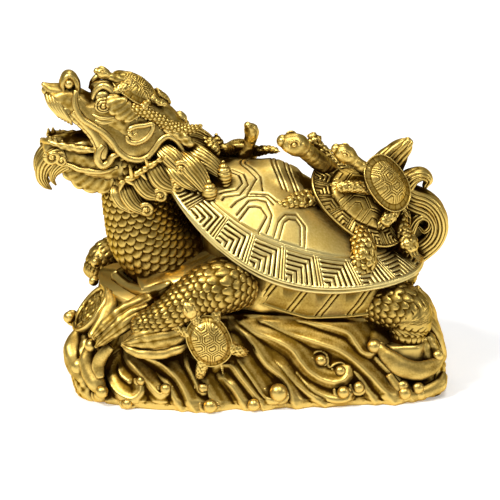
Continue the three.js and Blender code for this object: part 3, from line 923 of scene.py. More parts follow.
@dataclass
class Carapace:
    """The big shell: its cut dome, the margin with its frets and the bridge beneath."""

    centre: float = SHELL_CENTRE
    half_length: float = SHELL_HALF_LENGTH
    half_width: float = SHELL_HALF_WIDTH
    band: float = BAND_INSIDE
    dome_points: tuple[int, int] = (240, 290)  # rows and columns
    cut_width: float = 0.27  # mm, of a line cut in the dome
    cut_depth: float = 0.5
    spine_rise: float = 1.1  # mm that the spine's plates stand up
    margin_points: tuple[int, int] = (1060, 40)  # round and across
    plain_strip: float = 1.3  # mm, the lip's plain part
    panels: int = 20
    first_panel: float = 8.5  # mm along the figure, a border between two panels on the left flank
    underside: Sequence[tuple[float, float]] = (  # share of the shell, and mm under its rim
        (0.998, 0.9), (0.992, 1.5), (0.978, 1.9), (0.9, 2.6), (0.78, 4.0), (0.75, 1.0),
    )
    bridge_columns: int = 640
    bridge_centre: float = 19.0
    bridge_half_length: float = 37.0
    bridge_half_width: float = 32.0
    bridge_power: float = 2.7
    bridge_foot: Sequence[tuple[float, float]] = (  # mm along the figure, and up
        (-25, 43), (-10, 39.5), (-2.7, 36.4), (17.4, 30.1), (47.5, 29.6), (60, 32),
    )
    bridge_lines: Sequence[float] = (1.1, 14.0, 26.2, 38.0)  # mm along the figure, where the pairs start

    def point(self, share: Array, turn: Array, rise: Optional[Array] = None) -> Array:
        """Returns a place of the shell, by default on its dome."""
        x, y = oblong(turn, share * self.half_length, share * self.half_width, SHELL_POWER)
        x = x + self.centre
        up = 1 - share**DOME_POWER if rise is None else rise
        return np.stack([x, y, rim_height(x) + up * dome_height(x)], -1)

    def pattern(self, points: Array) -> Array:
        """Returns the relief of the dome's cut lines."""
        folded = points.copy()
        folded[..., 1] = -np.abs(folded[..., 1])
        far = strokes(folded, FAR_ARCHES + REAR_ARCHES, self.cut_width) * (points[..., 1] > 3)
        cut = np.maximum(strokes(folded, ARCHES, self.cut_width), far)
        return -self.cut_depth * np.maximum(cut, strokes(points, SPINE_LINES, 0.3))

    def dome(self) -> Lump:
        """Returns the dome, closed underneath."""
        share, turn = disc_grid(*self.dome_points)
        share = share * (self.band + 0.004)
        points = self.point(share, turn)
        spine = smooth(SPINE_HALF_WIDTH - np.abs(points[..., 1]), 0, 4)
        curved = points[..., 0] - SPINE_BEND * points[..., 1] ** 2
        spine = spine * smooth(curved, 3.0, 9.0) * smooth(curved, 18.4, 16.6)
        cut = self.pattern(points) + self.spine_rise * spine + 0.07 * waver(points, 7, 8)
        cut = cut - 0.45 * line((share - 0.775) * self.half_width, self.cut_width)
        points[..., 2] += cut
        lump = Lump.sheet(points)
        bpy.ops.object.mode_set(mode="EDIT")
        bpy.ops.mesh.select_all(action="DESELECT")
        bpy.ops.mesh.select_mode(type="EDGE")
        bpy.ops.mesh.select_non_manifold(extend=False)
        bpy.ops.mesh.extrude_region_move(TRANSFORM_OT_translate={"value": (0, 0, -3.0 * MM)})
        bpy.ops.mesh.fill(use_beauty=False)
        bpy.ops.mesh.select_all(action="SELECT")
        bpy.ops.mesh.normals_make_consistent(inside=False)
        bpy.ops.object.mode_set(mode="OBJECT")
        return lump

    def margin(self) -> Lump:
        """Returns the margin band with its frets and its lip."""
        columns, across = self.margin_points
        fine = np.linspace(0, TURN, 4001)
        rim = self.point(np.full(4001, 0.93), fine, np.full(4001, 0.12))
        lengths = np.concatenate([[0], np.cumsum(np.linalg.norm(np.diff(rim, axis=0), axis=1))])
        turn = np.interp(np.linspace(0, lengths[-1], columns + 1), lengths, fine)
        start = lengths[np.argmin(np.abs(rim[:, 0] - self.first_panel) + 99 * (rim[:, 1] > 0))]
        along = (start - np.linspace(0, lengths[-1], columns + 1)) % lengths[-1]
        rows, inward = [], []
        middle = np.zeros(columns + 1)
        for share in np.linspace(self.band, 1, across):
            rows.append(self.point(np.full(columns + 1, share), turn))
            if len(rows) > 1:
                middle = middle + np.linalg.norm(rows[-1] - rows[-2], axis=1)
            inward.append(middle)
        top = np.stack(rows, 1)
        inward = np.stack(inward, 1)
        reach = inward[:, -1:] - self.plain_strip
        relief = fret(along[:, None], inward - 0.7, lengths[-1] / self.panels, reach - 0.7, 1.85)
        relief = relief - 0.3 * line(inward - 0.1, 0.25) - 0.7 * smooth(inward - inward[:, -1:], -0.5, 0.0)
        normal = unit(np.cross(np.gradient(top, axis=0), np.gradient(top, axis=1)))
        normal *= np.sign(normal[..., 2:])
        top = top + normal * (relief + 0.05 * waver(top, 5, 3))[..., None]
        under = []
        for share, drop in self.underside:
            ring = self.point(np.full(columns + 1, share), turn, np.zeros(columns + 1))
            ring[:, 2] -= drop
            under.append(ring)
        under.append(self.point(np.full(columns + 1, self.band - 0.03), turn) - [0, 0, 1.2])
        ring = np.concatenate([top, np.stack(under, 1), top[:, :1]], 1)
        lump = Lump.sheet(ring)
        lump.closed()
        return lump

    def bridge(self) -> Lump:
        """Returns the smooth wall between the shell and the belly, with its slanted pairs of lines."""
        turn = TURN * np.arange(self.bridge_columns) / self.bridge_columns
        x, y = oblong(turn, self.bridge_half_length, self.bridge_half_width, self.bridge_power)
        x = x + self.bridge_centre
        low = np.interp(x, *zip(*self.bridge_foot))
        high = rim_height(x) - 1.0
        starts = np.array(self.bridge_lines)[:, None]
        wall = [(1.0, k / 34) for k in range(35)]
        rows = []
        for share, t in [(0.6, 0.0), *wall, (0.96, 1.03), (0.85, 1.05), (0.5, 1.05)]:
            z = high + (low - high) * t
            bulge = 1 - 0.025 * smooth(t, 0.6, 1.0)
            slant = (x - 0.75 * (z - 37.0)) - starts
            pairs = sum(line(s - 1.1, 0.3) + line(s + 1.1, 0.3) for s in slant)
            inside = (0.04 < t < 0.97) * (share == 1.0)
            groove = 0.45 * np.minimum(pairs, 1) * inside
            lip = 0.5 * math.exp(-(((t - 0.97) / 0.05) ** 2)) * (share == 1.0)
            size = share * bulge - (groove - lip) / self.bridge_half_width
            rows.append(np.stack([self.bridge_centre + (x - self.bridge_centre) * size, y * size, z], -1))
        return Lump.wrapped(np.stack(rows))

    def build(self) -> None:
        """Makes the shell's three pieces."""
        Piece("shell_dome", [self.dome()], SHELL_FINISH)
        Piece("shell_margin", [self.margin()], SHELL_FINISH)
        Piece("shell_bridge", [self.bridge()], WALL_FINISH)


@dataclass(frozen=True)
class Ridge:
    """A wave's crest, drawn on the left flank of the mound."""

    points: Sequence[tuple[float, float]]  # mm: along the figure and up
    height: float  # mm
    width: float
    lean: float = 0.35  # how much gentler its headward side is


LEFT_RIDGES = (
    Ridge(
        (
            (-47.6, 18.7), (-51.0, 14.8), (-52.6, 10.4), (-51.3, 6.3), (-48.6, 3.8), (-44.7, 3.3),
            (-41.9, 5.6), (-41.4, 8.4),
        ),
        2.6, 3.6,
    ),
    Ridge(((-49.2, 13.4), (-48.2, 10.2), (-45.6, 8.6)), 1.8, 2.4),
    Ridge(((-47.3, 19.7), (-45.7, 15.7), (-42.0, 12.2), (-38.2, 7.9), (-35.4, 5.4), (-33.2, 6.2)), 3.0, 4.0),
    Ridge(((-41.8, 17.4), (-35.0, 15.8), (-30.1, 11.9), (-26.8, 7.4), (-25.0, 3.4), (-22.6, 0.0)), 3.2, 4.4),
    Ridge(((-36.5, 12.4), (-32.5, 8.6), (-30.0, 4.0), (-27.6, 0.5)), 2.2, 2.8),
    Ridge(((-25.8, 20.1), (-25.0, 15.4), (-23.1, 10.8), (-21.7, 7.5), (-20.2, 6.4)), 2.8, 4.0),
    Ridge(((-22.0, 14.0), (-19.6, 8.5), (-17.2, 4.6), (-15.2, 0.6)), 2.4, 3.0),
    Ridge(((-14.9, 15.1), (-9.8, 15.0), (-6.4, 10.8), (-3.0, 6.6), (-0.1, 3.0), (1.0, 0.5)), 3.0, 4.0),
    Ridge(((-13.0, 11.0), (-9.6, 7.6), (-7.0, 3.8), (-5.0, 0.5)), 2.4, 3.0),
    Ridge(((-9.0, 21.1), (-7.2, 16.4), (-3.3, 10.8), (1.0, 4.6), (3.0, 3.4), (5.2, 3.2)), 3.0, 3.6),
    Ridge(((-7.8, 27.7), (-2.8, 22.9), (2.5, 15.3), (8.0, 10.6), (10.6, 6.5), (12.5, 1.5)), 2.8, 3.4),
    Ridge(
        (
            (-5.7, 29.1), (-1.2, 25.7), (3.8, 23.7), (8.4, 21.6), (11.9, 19.2), (14.8, 15.3), (17.8, 11.9),
            (21.8, 9.4), (25.9, 8.2), (29.5, 8.6), (31.4, 10.2),
        ),
        3.4, 4.6,
    ),
    Ridge(((4.0, 17.6), (8.4, 13.2), (11.6, 9.6), (15.0, 6.6), (19.0, 3.8), (23.0, 1.2)), 2.4, 2.8),
    Ridge(((13.4, 11.6), (17.5, 7.0), (21.5, 4.4), (26.6, 2.6), (30.6, 2.8), (32.0, 4.4)), 2.4, 2.8),
    Ridge(
        (
            (2.0, 29.4), (9.5, 25.4), (17.1, 22.7), (23.3, 20.5), (28.9, 18.2), (33.4, 15.0), (38.0, 10.8),
            (41.0, 7.7), (44.0, 4.5), (47.6, 1.0),
        ),
        3.4, 4.6,
    ),
    Ridge(((30.5, 13.9), (35.5, 9.6), (38.0, 5.6), (41.0, 1.5)), 2.2, 2.6),
    Ridge(
        (
            (15.3, 29.4), (20.4, 27.7), (24.5, 26.5), (28.6, 25.2), (32.2, 23.5), (34.7, 20.0), (36.7, 17.4),
            (39.3, 16.4), (42.0, 17.0),
        ),
        3.2, 4.4,
    ),
    Ridge(((36.9, 19.8), (41.4, 15.4), (45.1, 11.6), (49.3, 7.9), (52.0, 4.2), (54.0, 1.0)), 2.8, 3.4),
    Ridge(((45.6, 16.2), (50.5, 12.8), (55.1, 10.2), (59.1, 7.6), (62.5, 4.6), (64.5, 1.3)), 2.8, 3.6),
    Ridge(
        (
            (19.0, 15.1), (19.4, 17.6), (21.8, 18.6), (24.2, 17.2), (24.2, 14.4), (25.4, 13.2), (27.2, 14.2),
            (29.6, 14.4), (31.6, 12.6), (32.0, 10.4),
        ),
        1.7, 1.5, 0.0,
    ),
    Ridge(((-57.0, 26.0), (-60.5, 20.0), (-61.5, 13.0), (-59.5, 7.0), (-57.5, 1.0)), 2.4, 3.4),
    Ridge(((-55.0, 20.0), (-57.0, 13.5), (-55.5, 6.5), (-53.0, 1.0)), 2.2, 2.8),
)

BALLS = (  # mm: along, up, radius, how far they stand off the mound
    (6.5, 6.2, 3.3, 2.0), (28.9, 12.2, 2.0, 1.2), (29.6, 5.7, 2.2, 2.2), (35.2, 6.8, 2.1, 1.6),
    (40.9, 19.6, 2.7, 2.2),
    (56.8, 2.6, 2.2, 1.0), (51.0, 3.8, 2.4, 1.6), (22.1, 16.0, 2.1, 1.4), (-17.9, 2.2, 2.5, 2.2),
    (-2.4, 2.3, 2.3, 1.6),
    (-33.0, 7.9, 2.0, 1.8), (-20.2, 8.3, 1.9, 1.8), (-57.3, 12.8, 2.1, 1.6), (-63.0, 22.2, 2.3, 0.6),
    (-60.6, 4.6, 2.7, 1.0),
    (-54.6, 1.8, 2.5, 1.6), (-46.2, 1.6, 1.9, 1.4), (62.5, 9.5, 2.2, 1.4), (64.4, 3.2, 2.4, 0.8),
    (-41.2, 9.9, 1.7, 1.6),
)


CURL = (  # degrees round a drop, and how far out and how thick the lip is, in radii of the drop
    (165, 1.5, 0.25), (200, 1.3, 0.45), (240, 1.2, 0.55), (285, 1.15, 0.55), (330, 1.15, 0.5),
    (370, 1.1, 0.3),
)

SWELLS = (  # mm: thick waves round the coin and under the rock, with their half widths and heights
    (
        (-51.9, -12, 35.3, 1.6, 1.4), (-51.2, -16, 32.5, 2.6, 2), (-52.6, -19, 29.1, 3, 2.2),
        (-55.2, -21, 25.7, 2.8, 2.2), (-57.9, -23, 23.1, 1.8, 1.6),
    ),
    (
        (-58.7, -24, 19.3, 1.8, 1.4), (-59.9, -25, 15.1, 3, 2.2), (-59, -27, 10.9, 3.6, 2.6),
        (-57.1, -30, 7.4, 3.2, 2.4), (-55, -31, 4.2, 2, 1.8),
    ),
    (
        (-60.5, -12, 21.8, 1.8, 1.4), (-63.2, -14, 18.9, 2.8, 2.4), (-64.6, -18, 15.4, 3.6, 3),
        (-63.8, -21, 11.5, 3.8, 3), (-61.2, -24, 8, 2.8, 2.2),
    ),
    (
        (-52.2, -31, 21.6, 1.4, 1), (-54.9, -30, 18.3, 2.2, 1.5), (-56.7, -29, 14.2, 2.4, 1.6),
        (-56.1, -31, 10.7, 1.6, 1.2),
    ),
    (
        (42.5, -34, 19.7, 1.6, 1.2), (46.3, -36, 16.1, 3, 2), (51.2, -37, 12.5, 3.6, 2.3),
        (57.1, -36, 10.9, 3.4, 2.2), (62.3, -33, 11.5, 2.8, 2), (65.5, -30, 13.7, 1.6, 1.4),
    ),
    (
        (46.1, -38, 10.4, 1.4, 1.2), (49.7, -38, 5, 2, 1.6), (54, -38, 2.6, 2, 1.6),
        (59.1, -37, 3.2, 2.4, 1.8), (64.4, -34, 4.6, 2.6, 2), (66.1, -31, 7.2, 1.4, 1.2),
    ),
)

BANKS = (  # mm: the broad bodies of water beneath them
    (
        (-53.7, -8, 20.2, 4, 6), (-56.9, -11, 15.3, 6.5, 9), (-57.9, -15, 10.3, 7.5, 10),
        (-56.8, -18, 4.1, 8, 10), (-54.1, -20, -0.2, 8.5, 9),
    ),
    ((-50, 2, 30.1, 3, 6), (-49.4, -4, 27, 4.6, 7), (-50.2, -9, 22.7, 5.4, 7), (-52.7, -12, 17, 5.8, 7)),
    ((59, -22, 17.9, 5, 8), (60.3, -24, 11.7, 6.5, 8), (60.2, -25, 5.3, 7.5, 9), (58.6, -26, -0.4, 8, 9)),
)

REAR_WAVES = (-17, -9, -1, 8, 16)  # mm across the figure, where each comes down

KNOBS = (  # mm: x, y, z and radius of the round ends of the thick waves
    (-65.2, -8, 24.7, 2.2), (-62.8, -22, 11.1, 3.4), (-55.7, 2, 34.5, 1.8), (-58.9, -26, 20.4, 2.3),
    (-55.6, -33, 5.4, 2.3),
    (-54.3, 10, 38.7, 1.9), (64.3, -31, 14.5, 2.1), (65.5, -30, 5.8, 2.4), (51.1, -38, 6.1, 2.2),
    (56.5, -38, 5.1, 2.2),
)


@dataclass
class Mound:
    """The breaking waves that the figure stands on."""

    columns: int = 960
    rows: int = 92
    foot: float = 3.0  # mm, its upright edge
    rise: float = 26.0  # mm from the foot's edge to the shoulder
    half_length: float = 63.0
    half_width: float = 41.0
    shoulder_shorter: float = 7.0  # mm less than the half length
    shoulder_narrower: float = 11.0
    centre: float = 4.0  # mm along the figure
    shoulder_forward: float = 3.0
    power: float = 2.6  # of its rounded oblong
    top: Sequence[tuple[float, float]] = (  # mm along the figure, and up
        (-57, 36.5), (-45, 34.5), (-20, 32), (0, 31.5), (20, 30), (45, 28), (58, 25),
    )
    rock_centre: tuple[float, float] = (52.6, 25.5)  # mm along the figure and to each side
    rock_radius: float = 8.6
    rock_points: int = 120

    def plan(self, turn: Array, z: Array) -> tuple[Array, Array]:
        """Returns x and y of its smooth surface at a turn and a height."""
        h = (np.maximum(z - self.foot, 0.0) / self.rise) ** (1 / 1.1)
        boxy = np.maximum(1 - 0.8 * h, 0.0) * (1.7 + 0.8 * np.cos(turn))
        half_length = self.half_length - self.shoulder_shorter * h
        half_width = self.half_width - self.shoulder_narrower * h
        x, y = oblong(turn, half_length, half_width, self.power + boxy)
        return x + self.centre - self.shoulder_forward * h, y

    def on_flank(self, x: float, z: float) -> Array:
        """Returns the place of its left flank at that place along it and that height."""
        turn = np.linspace(-math.pi, 0, 361)
        along, across = self.plan(turn, np.full(361, z))
        return np.array([x, np.interp(x, along, across), z])

    def crest(self, points: Array, outward: Array, ridge: Ridge, side: Side) -> Array:
        """How far one ridge lifts the mound.

        Args:
            points: places of the smooth mound in mm.
            outward: its normals there.
            ridge: which crest.
            side: the flank that it is on.

        Returns:
            mm for each place.
        """
        path = np.stack([self.on_flank(x, z) for x, z in ridge.points])
        path = through(path, np.linspace(0, len(path) - 1, 5 * len(path)))
        path[:, 1] *= -side.value
        share = np.linspace(0, 1, len(path))
        near = np.linalg.norm(points - path.mean(0), axis=-1) < np.ptp(path, axis=0).max() + 8
        spot, out = points[near], outward[near]
        best = np.full(len(spot), 1e9)
        where = np.zeros(len(spot))
        sign = np.zeros(len(spot))
        for i in range(len(path) - 1):
            a, ab = path[i], path[i + 1] - path[i]
            t = np.clip((spot - a) @ ab / max(ab @ ab, 1e-9), 0, 1)
            gap = spot - a - t[:, None] * ab
            distance = np.linalg.norm(gap, axis=1)
            closer = distance < best
            best = np.where(closer, distance, best)
            where = np.where(closer, share[i] + t * (share[1] - share[0]), where)
            turned = (np.cross(np.broadcast_to(ab, gap.shape), out) * gap).sum(-1) * side.value
            sign = np.where(closer, turned / np.linalg.norm(ab), sign)
        width = 1.45 * ridge.width * (1 + ridge.lean * np.clip(sign / 1.5, -1, 1))
        size = 0.55 + 0.45 * smooth(where, 0, 0.3)
        lift = np.zeros(len(points))
        lift[near] = ridge.height * size * (1 - np.minimum(best / width, 1)) ** 1.3
        return lift

    def surface(self) -> Lump:
        """Returns the mound with its wave crests."""
        turn = TURN * np.arange(self.columns) / self.columns
        x = self.plan(turn, np.full(self.columns, 25.0))[0]
        top = np.interp(x, *zip(*self.top))
        share = np.linspace(0, 1, self.rows)[:, None]
        z = self.foot * 0.1 + (top - 0.3) * share
        x, y = self.plan(turn[None], z)
        points = np.stack([x, y, z], -1)
        normal = unit(np.cross(np.gradient(points, axis=1), np.gradient(points, axis=0)))
        flat, out = points.reshape(-1, 3), normal.reshape(-1, 3)
        lift = np.zeros(len(flat))
        for side in Side:
            here = flat[:, 1] * side.value > -12
            for ridge in LEFT_RIDGES:
                lift[here] = np.maximum(lift[here], self.crest(flat[here], out[here], ridge, side))
        lift = lift.reshape(z.shape)
        streaks = 0.07 * np.sin(4.4 * lift) + 0.05 * waver(points, 4.0, 6)
        fade = smooth(share, 1.0, 0.93)
        points = points + normal * ((lift - 0.6) * fade + streaks)[..., None]
        points[..., 2] = np.maximum(points[..., 2], 0.0)
        points[0, :, 2] = 0.0
        crown = points[-1]
        middle = np.array([0.0, 0.0, 31.0])
        inner = np.stack([crown + (middle - crown) * k for k in (0.12, 0.3, 0.55, 0.8)])
        return Lump.wrapped(np.concatenate([points[:1] * [0.7, 0.7, 1], points, inner]))

    def drops(self) -> list[Lump]:
        """Returns the round drops at the waves' ends."""
        lumps = []
        for side in Side:
            for x, z, radius, off in BALLS:
                place = self.on_flank(x, z)
                out = unit(place - np.array([np.clip(x, -25, 35), 0, z]) + [0, -1e-3, 0])
                place = place + out * off
                place[1] *= -side.value
                place[2] = max(place[2], radius)
                lumps.append(Lump.ball(place, (radius,) * 3, 4 if side is Side.LEFT else 3))
                lumps.append(self.curl(place - out * [1, -side.value, 1] * 0.5 * radius, radius))
        return lumps

    @staticmethod
    def curl(middle: Array, radius: float) -> Lump:
        """Returns a wave's lip that comes from above, passes under a drop and rolls up beyond it."""
        stations = []
        for degrees, reach, size in CURL:
            a = math.radians(degrees)
            x = middle[0] + reach * radius * math.cos(a)
            z = max(middle[2] + reach * radius * math.sin(a), 0.6)
            stations.append((x, middle[1], z, size * radius))
        return limb(stations, step=0.32)

    def swells(self) -> list[Lump]:
        """Returns the thick waves at the front end, under the rock and down the rear end."""
        out = (0, -1, 0.3)
        calm = rough(0.15, 5)
        banked = added(combed(2.5, 0.6), rough(0.25, 3))
        lumps = [limb(wave, up=out, power=2.0, step=0.34, relief=calm) for wave in SWELLS]
        lumps += [limb(bank, up=out, power=2.2, step=0.42, relief=banked) for bank in BANKS]
        for k, y in enumerate(REAR_WAVES):
            odd = k % 2
            down = (
                (61, y - 2, 23.5, 1.8, 1.4), (65, y, 17, 3.0, 2.0), (67, y + 2, 10 - odd, 3.2, 2.0),
                (66.6, y + 5, 4, 2.0, 1.6),
            )
            lumps.append(limb(down, up=(1, 0, 0.3), power=2.0, step=0.45, relief=calm))
            lumps.append(Lump.ball((67.5, y + 6.5, 3.2 + odd), (1.8,) * 3))
        lumps += [Lump.ball((x, y, max(z, radius)), (radius,) * 3) for x, y, z, radius in KNOBS]
        return lumps

    def rocks(self) -> list[Lump]:
        """Returns the flat-topped rocks under the hind feet."""
        lumps = []
        turn = TURN * np.arange(self.rock_points) / self.rock_points
        corner = 1 + 0.05 * np.cos(6 * turn) + 0.03 * np.cos(3 * turn + 0.6)
        wall = [(1.0 + 0.004 * k, 13.0 + 0.8 * k) for k in range(7)]
        profile = [(0.9, 9.0), (0.98, 12.0), *wall, (1.0, 18.5), (0.96, 19.1), (0.9, 19.3), (0.4, 19.4)]
        for side in Side:
            rings = []
            for share, z in profile:
                x = self.rock_centre[0] + self.rock_radius * share * corner * np.cos(turn)
                y = side.value * self.rock_centre[1] + self.rock_radius * share * corner * np.sin(turn)
                rings.append(np.stack([x, y, np.full(self.rock_points, z)], -1))
            lumps.append(Lump.wrapped(np.stack(rings)))
        return lumps

    def build(self) -> None:
        """Makes the mound and its drops."""
        Piece("waves", [self.surface()], WATER_FINISH)
        Piece("drops", self.drops() + self.rocks() + self.swells(), WATER_FINISH)


@dataclass
class Body:
    """The trunk, the scaled neck, the lip of the breastplate and the legs."""

    neck: Sequence[Station] = (
        (-27, 0, 42, 16, 15), (-35.5, 0, 52, 14, 14.5), (-39.5, 0, 62, 12, 12.5),
        (-41.5, 0, 71, 10.5, 11), (-42, 0, 80, 10, 10), (-40, 0, 89, 10, 9),
    )
    trunk: Sequence[Station] = (
        (-40, 0, 37, 18, 3.5), (-24, 0, 40, 25, 7), (0, 0, 41, 30, 14), (26, 0, 38, 30, 12),
        (42, 0, 38, 23, 10), (50, 0, 39, 12, 7),
    )
    breast_lip: Sequence[Station] = (
        (-47.5, 0, 36.5, 2.4), (-44, -8, 35.4, 2.4), (-39.5, -15, 36.2, 2.4), (-35, -20, 38.5, 2.2),
        (-31, -23, 41.5, 1.6),
    )
    arm: Sequence[Station] = (
        (-5, -27, 43, 8.6), (-14, -32, 43.5, 9.6), (-23, -34, 40, 8.2), (-33, -36, 34.5, 5.8),
        (-41, -35, 30.4, 4.6),
    )
    right_forearm: Sequence[Station] = (
        (-33, 36, 36, 6.2), (-42, 35, 34.5, 5.8), (-49.5, 33, 32.5, 5.0), (-53, 32, 28, 3.8),
    )
    thigh: Sequence[Station] = (
        (40, -20, 32, 8), (49, -23.5, 31.5, 8.8), (54.5, -25, 28, 8), (54, -26, 22, 6.6)
    )
    tufts: Sequence[Sequence[Station]] = (
        (
            (-37.5, -27, 37.2, 3.4, 1.6), (-42.8, -30, 35.4, 4.2, 1.8), (-48.9, -31, 32.5, 3.8, 1.7),
            (-54.3, -31, 28.5, 2.8, 1.5), (-58.1, -29, 24.5, 0.9, 0.8),
        ),
        (
            (-38.5, -31, 34.9, 3, 1.6), (-44.5, -33, 33.1, 3.6, 1.8), (-50.3, -34, 29.5, 3, 1.6),
            (-55.2, -33, 25.1, 1.8, 1.2), (-57.6, -32, 22.2, 0.7, 0.6),
        ),
        (
            (-26.3, -38, 29.4, 3.6, 2.2), (-31.4, -39, 28.8, 4.6, 2.4), (-37.9, -39.5, 28.1, 4.6, 2.4),
            (-43.5, -38.5, 26.7, 3.2, 2), (-48.3, -36, 24.5, 0.7, 0.7),
        ),
    )
    tuft_edge: Sequence[Station] = (
        (-48.7, -36, 24.1, 0.7), (-45.6, -38, 22.6, 1.5), (-40.7, -39.5, 21.7, 2), (-35, -40, 21.9, 2),
        (-30, -40, 23.1, 1.8), (-25.6, -39, 24.8, 1.2),
    )
    fold: Sequence[Station] = (
        (-11.3, -31, 52.2, 0.8), (-9.4, -34, 49.5, 1.2), (-9.2, -36, 46, 1.3), (-10.7, -36, 41.9, 1.2),
        (-13.2, -36, 39.3, 0.7),
    )

    def trunk_and_neck(self) -> None:
        """Makes the trunk, the neck and the lip."""
        scales = scaled(2.15, 3.5, 0.8, back=True)
        neck = limb(self.neck, up=(1, 0, 0), step=0.36, relief=scales, tips=(0.3, 0.3))
        Piece("neck", [neck], SCALE_FINISH)
        lumps = [limb(self.trunk, power=3.4, step=1.0, relief=rough(0.2, 5))]
        lumps += both(self.breast_lip, up=(0.5, 0, 1), step=0.5, relief=rough(0.12, 4))
        Piece("trunk", lumps, CAST)

    def legs(self) -> None:
        """Makes the four legs."""
        skin = added(scaled(2.3, 2.7, 0.62), rough(0.1, 4))
        near, far = {"step": 0.34, "relief": skin}, {"step": 0.45, "relief": skin}
        right_arm = [*mirrored(self.arm[:3]), *self.right_forearm]
        lumps = [limb(self.arm, **near), limb(right_arm, **far)]
        lumps += [limb(self.thigh, **near), limb(mirrored(self.thigh), **far)]
        Piece("legs", lumps, SCALE_FINISH)

    def strands(self) -> None:
        """Makes the combed tufts before the front legs, and the folds behind the arms."""
        combing = added(combed(3, 0.22), rough(0.16, 3))
        laid = {"up": (0, -1, 0.35), "power": 1.8, "step": 0.3, "relief": combing}
        lumps = [limb(tuft, **laid) for tuft in self.tufts] + [limb(mirrored(self.tufts[2]), **laid)]
        lumps += both(self.tuft_edge, step=0.34, relief=rough(0.15, 4))
        for shift in (0.0, 2.1, 4.2):
            fold = [[x + shift, y + 0.5 * shift, z, r] for x, y, z, r in self.fold]
            lumps += both(fold, step=0.34)
        Piece("front_tufts", lumps, WATER_FINISH)

    def build(self) -> None:
        """Makes the body."""
        self.trunk_and_neck()
        self.legs()
        self.strands()


def frilled(pitch: float, depth: float) -> Relief:
    """Lobes along both edges of a flat limb, with fine veins between them."""

    def relief(p: Place) -> Array:
        """Returns the height of the lobes and veins."""
        lobe = np.abs(np.sin(np.pi * p.along / pitch)) ** 0.7 - 0.5
        edge = smooth(np.abs(np.cos(p.angle)), 0.55, 1.0)
        veins = 0.07 * np.sin(TURN * (1.5 * p.along / pitch + 0.6 * np.cos(p.angle)))
        return depth * (lobe + 0.3 * waver(p.points, 5, 14)) * edge + veins * (1 - edge)

    return relief


def whorl(
    centre: Sequence[float],
    radius: float,
    start: float,
    turns: float = 1.5,
    hand: int = 1,
) -> list[Station]:
    """Stations of a strand that rolls up to its middle, seen from the left flank.

    Args:
        centre: x, y and z of its middle in mm.
        radius: mm from the middle to the outermost strand.
        start: where round the middle it begins, in radians.
        turns: how often it goes round.
        hand: 1 or -1, which way.

    Returns:
        Rows of x, y, z and radius in mm.
    """
    stations = []
    for t in np.linspace(0, 1, int(9 * turns) + 2):
        reach = radius * (1 - t) ** 0.85
        a = start + hand * TURN * turns * t
        x, z = centre[0] + reach * math.cos(a), centre[2] + reach * math.sin(a)
        stations.append((x, centre[1] - 0.35 * radius * t, z, 0.36 * radius * (1 - 0.35 * t)))
    return stations


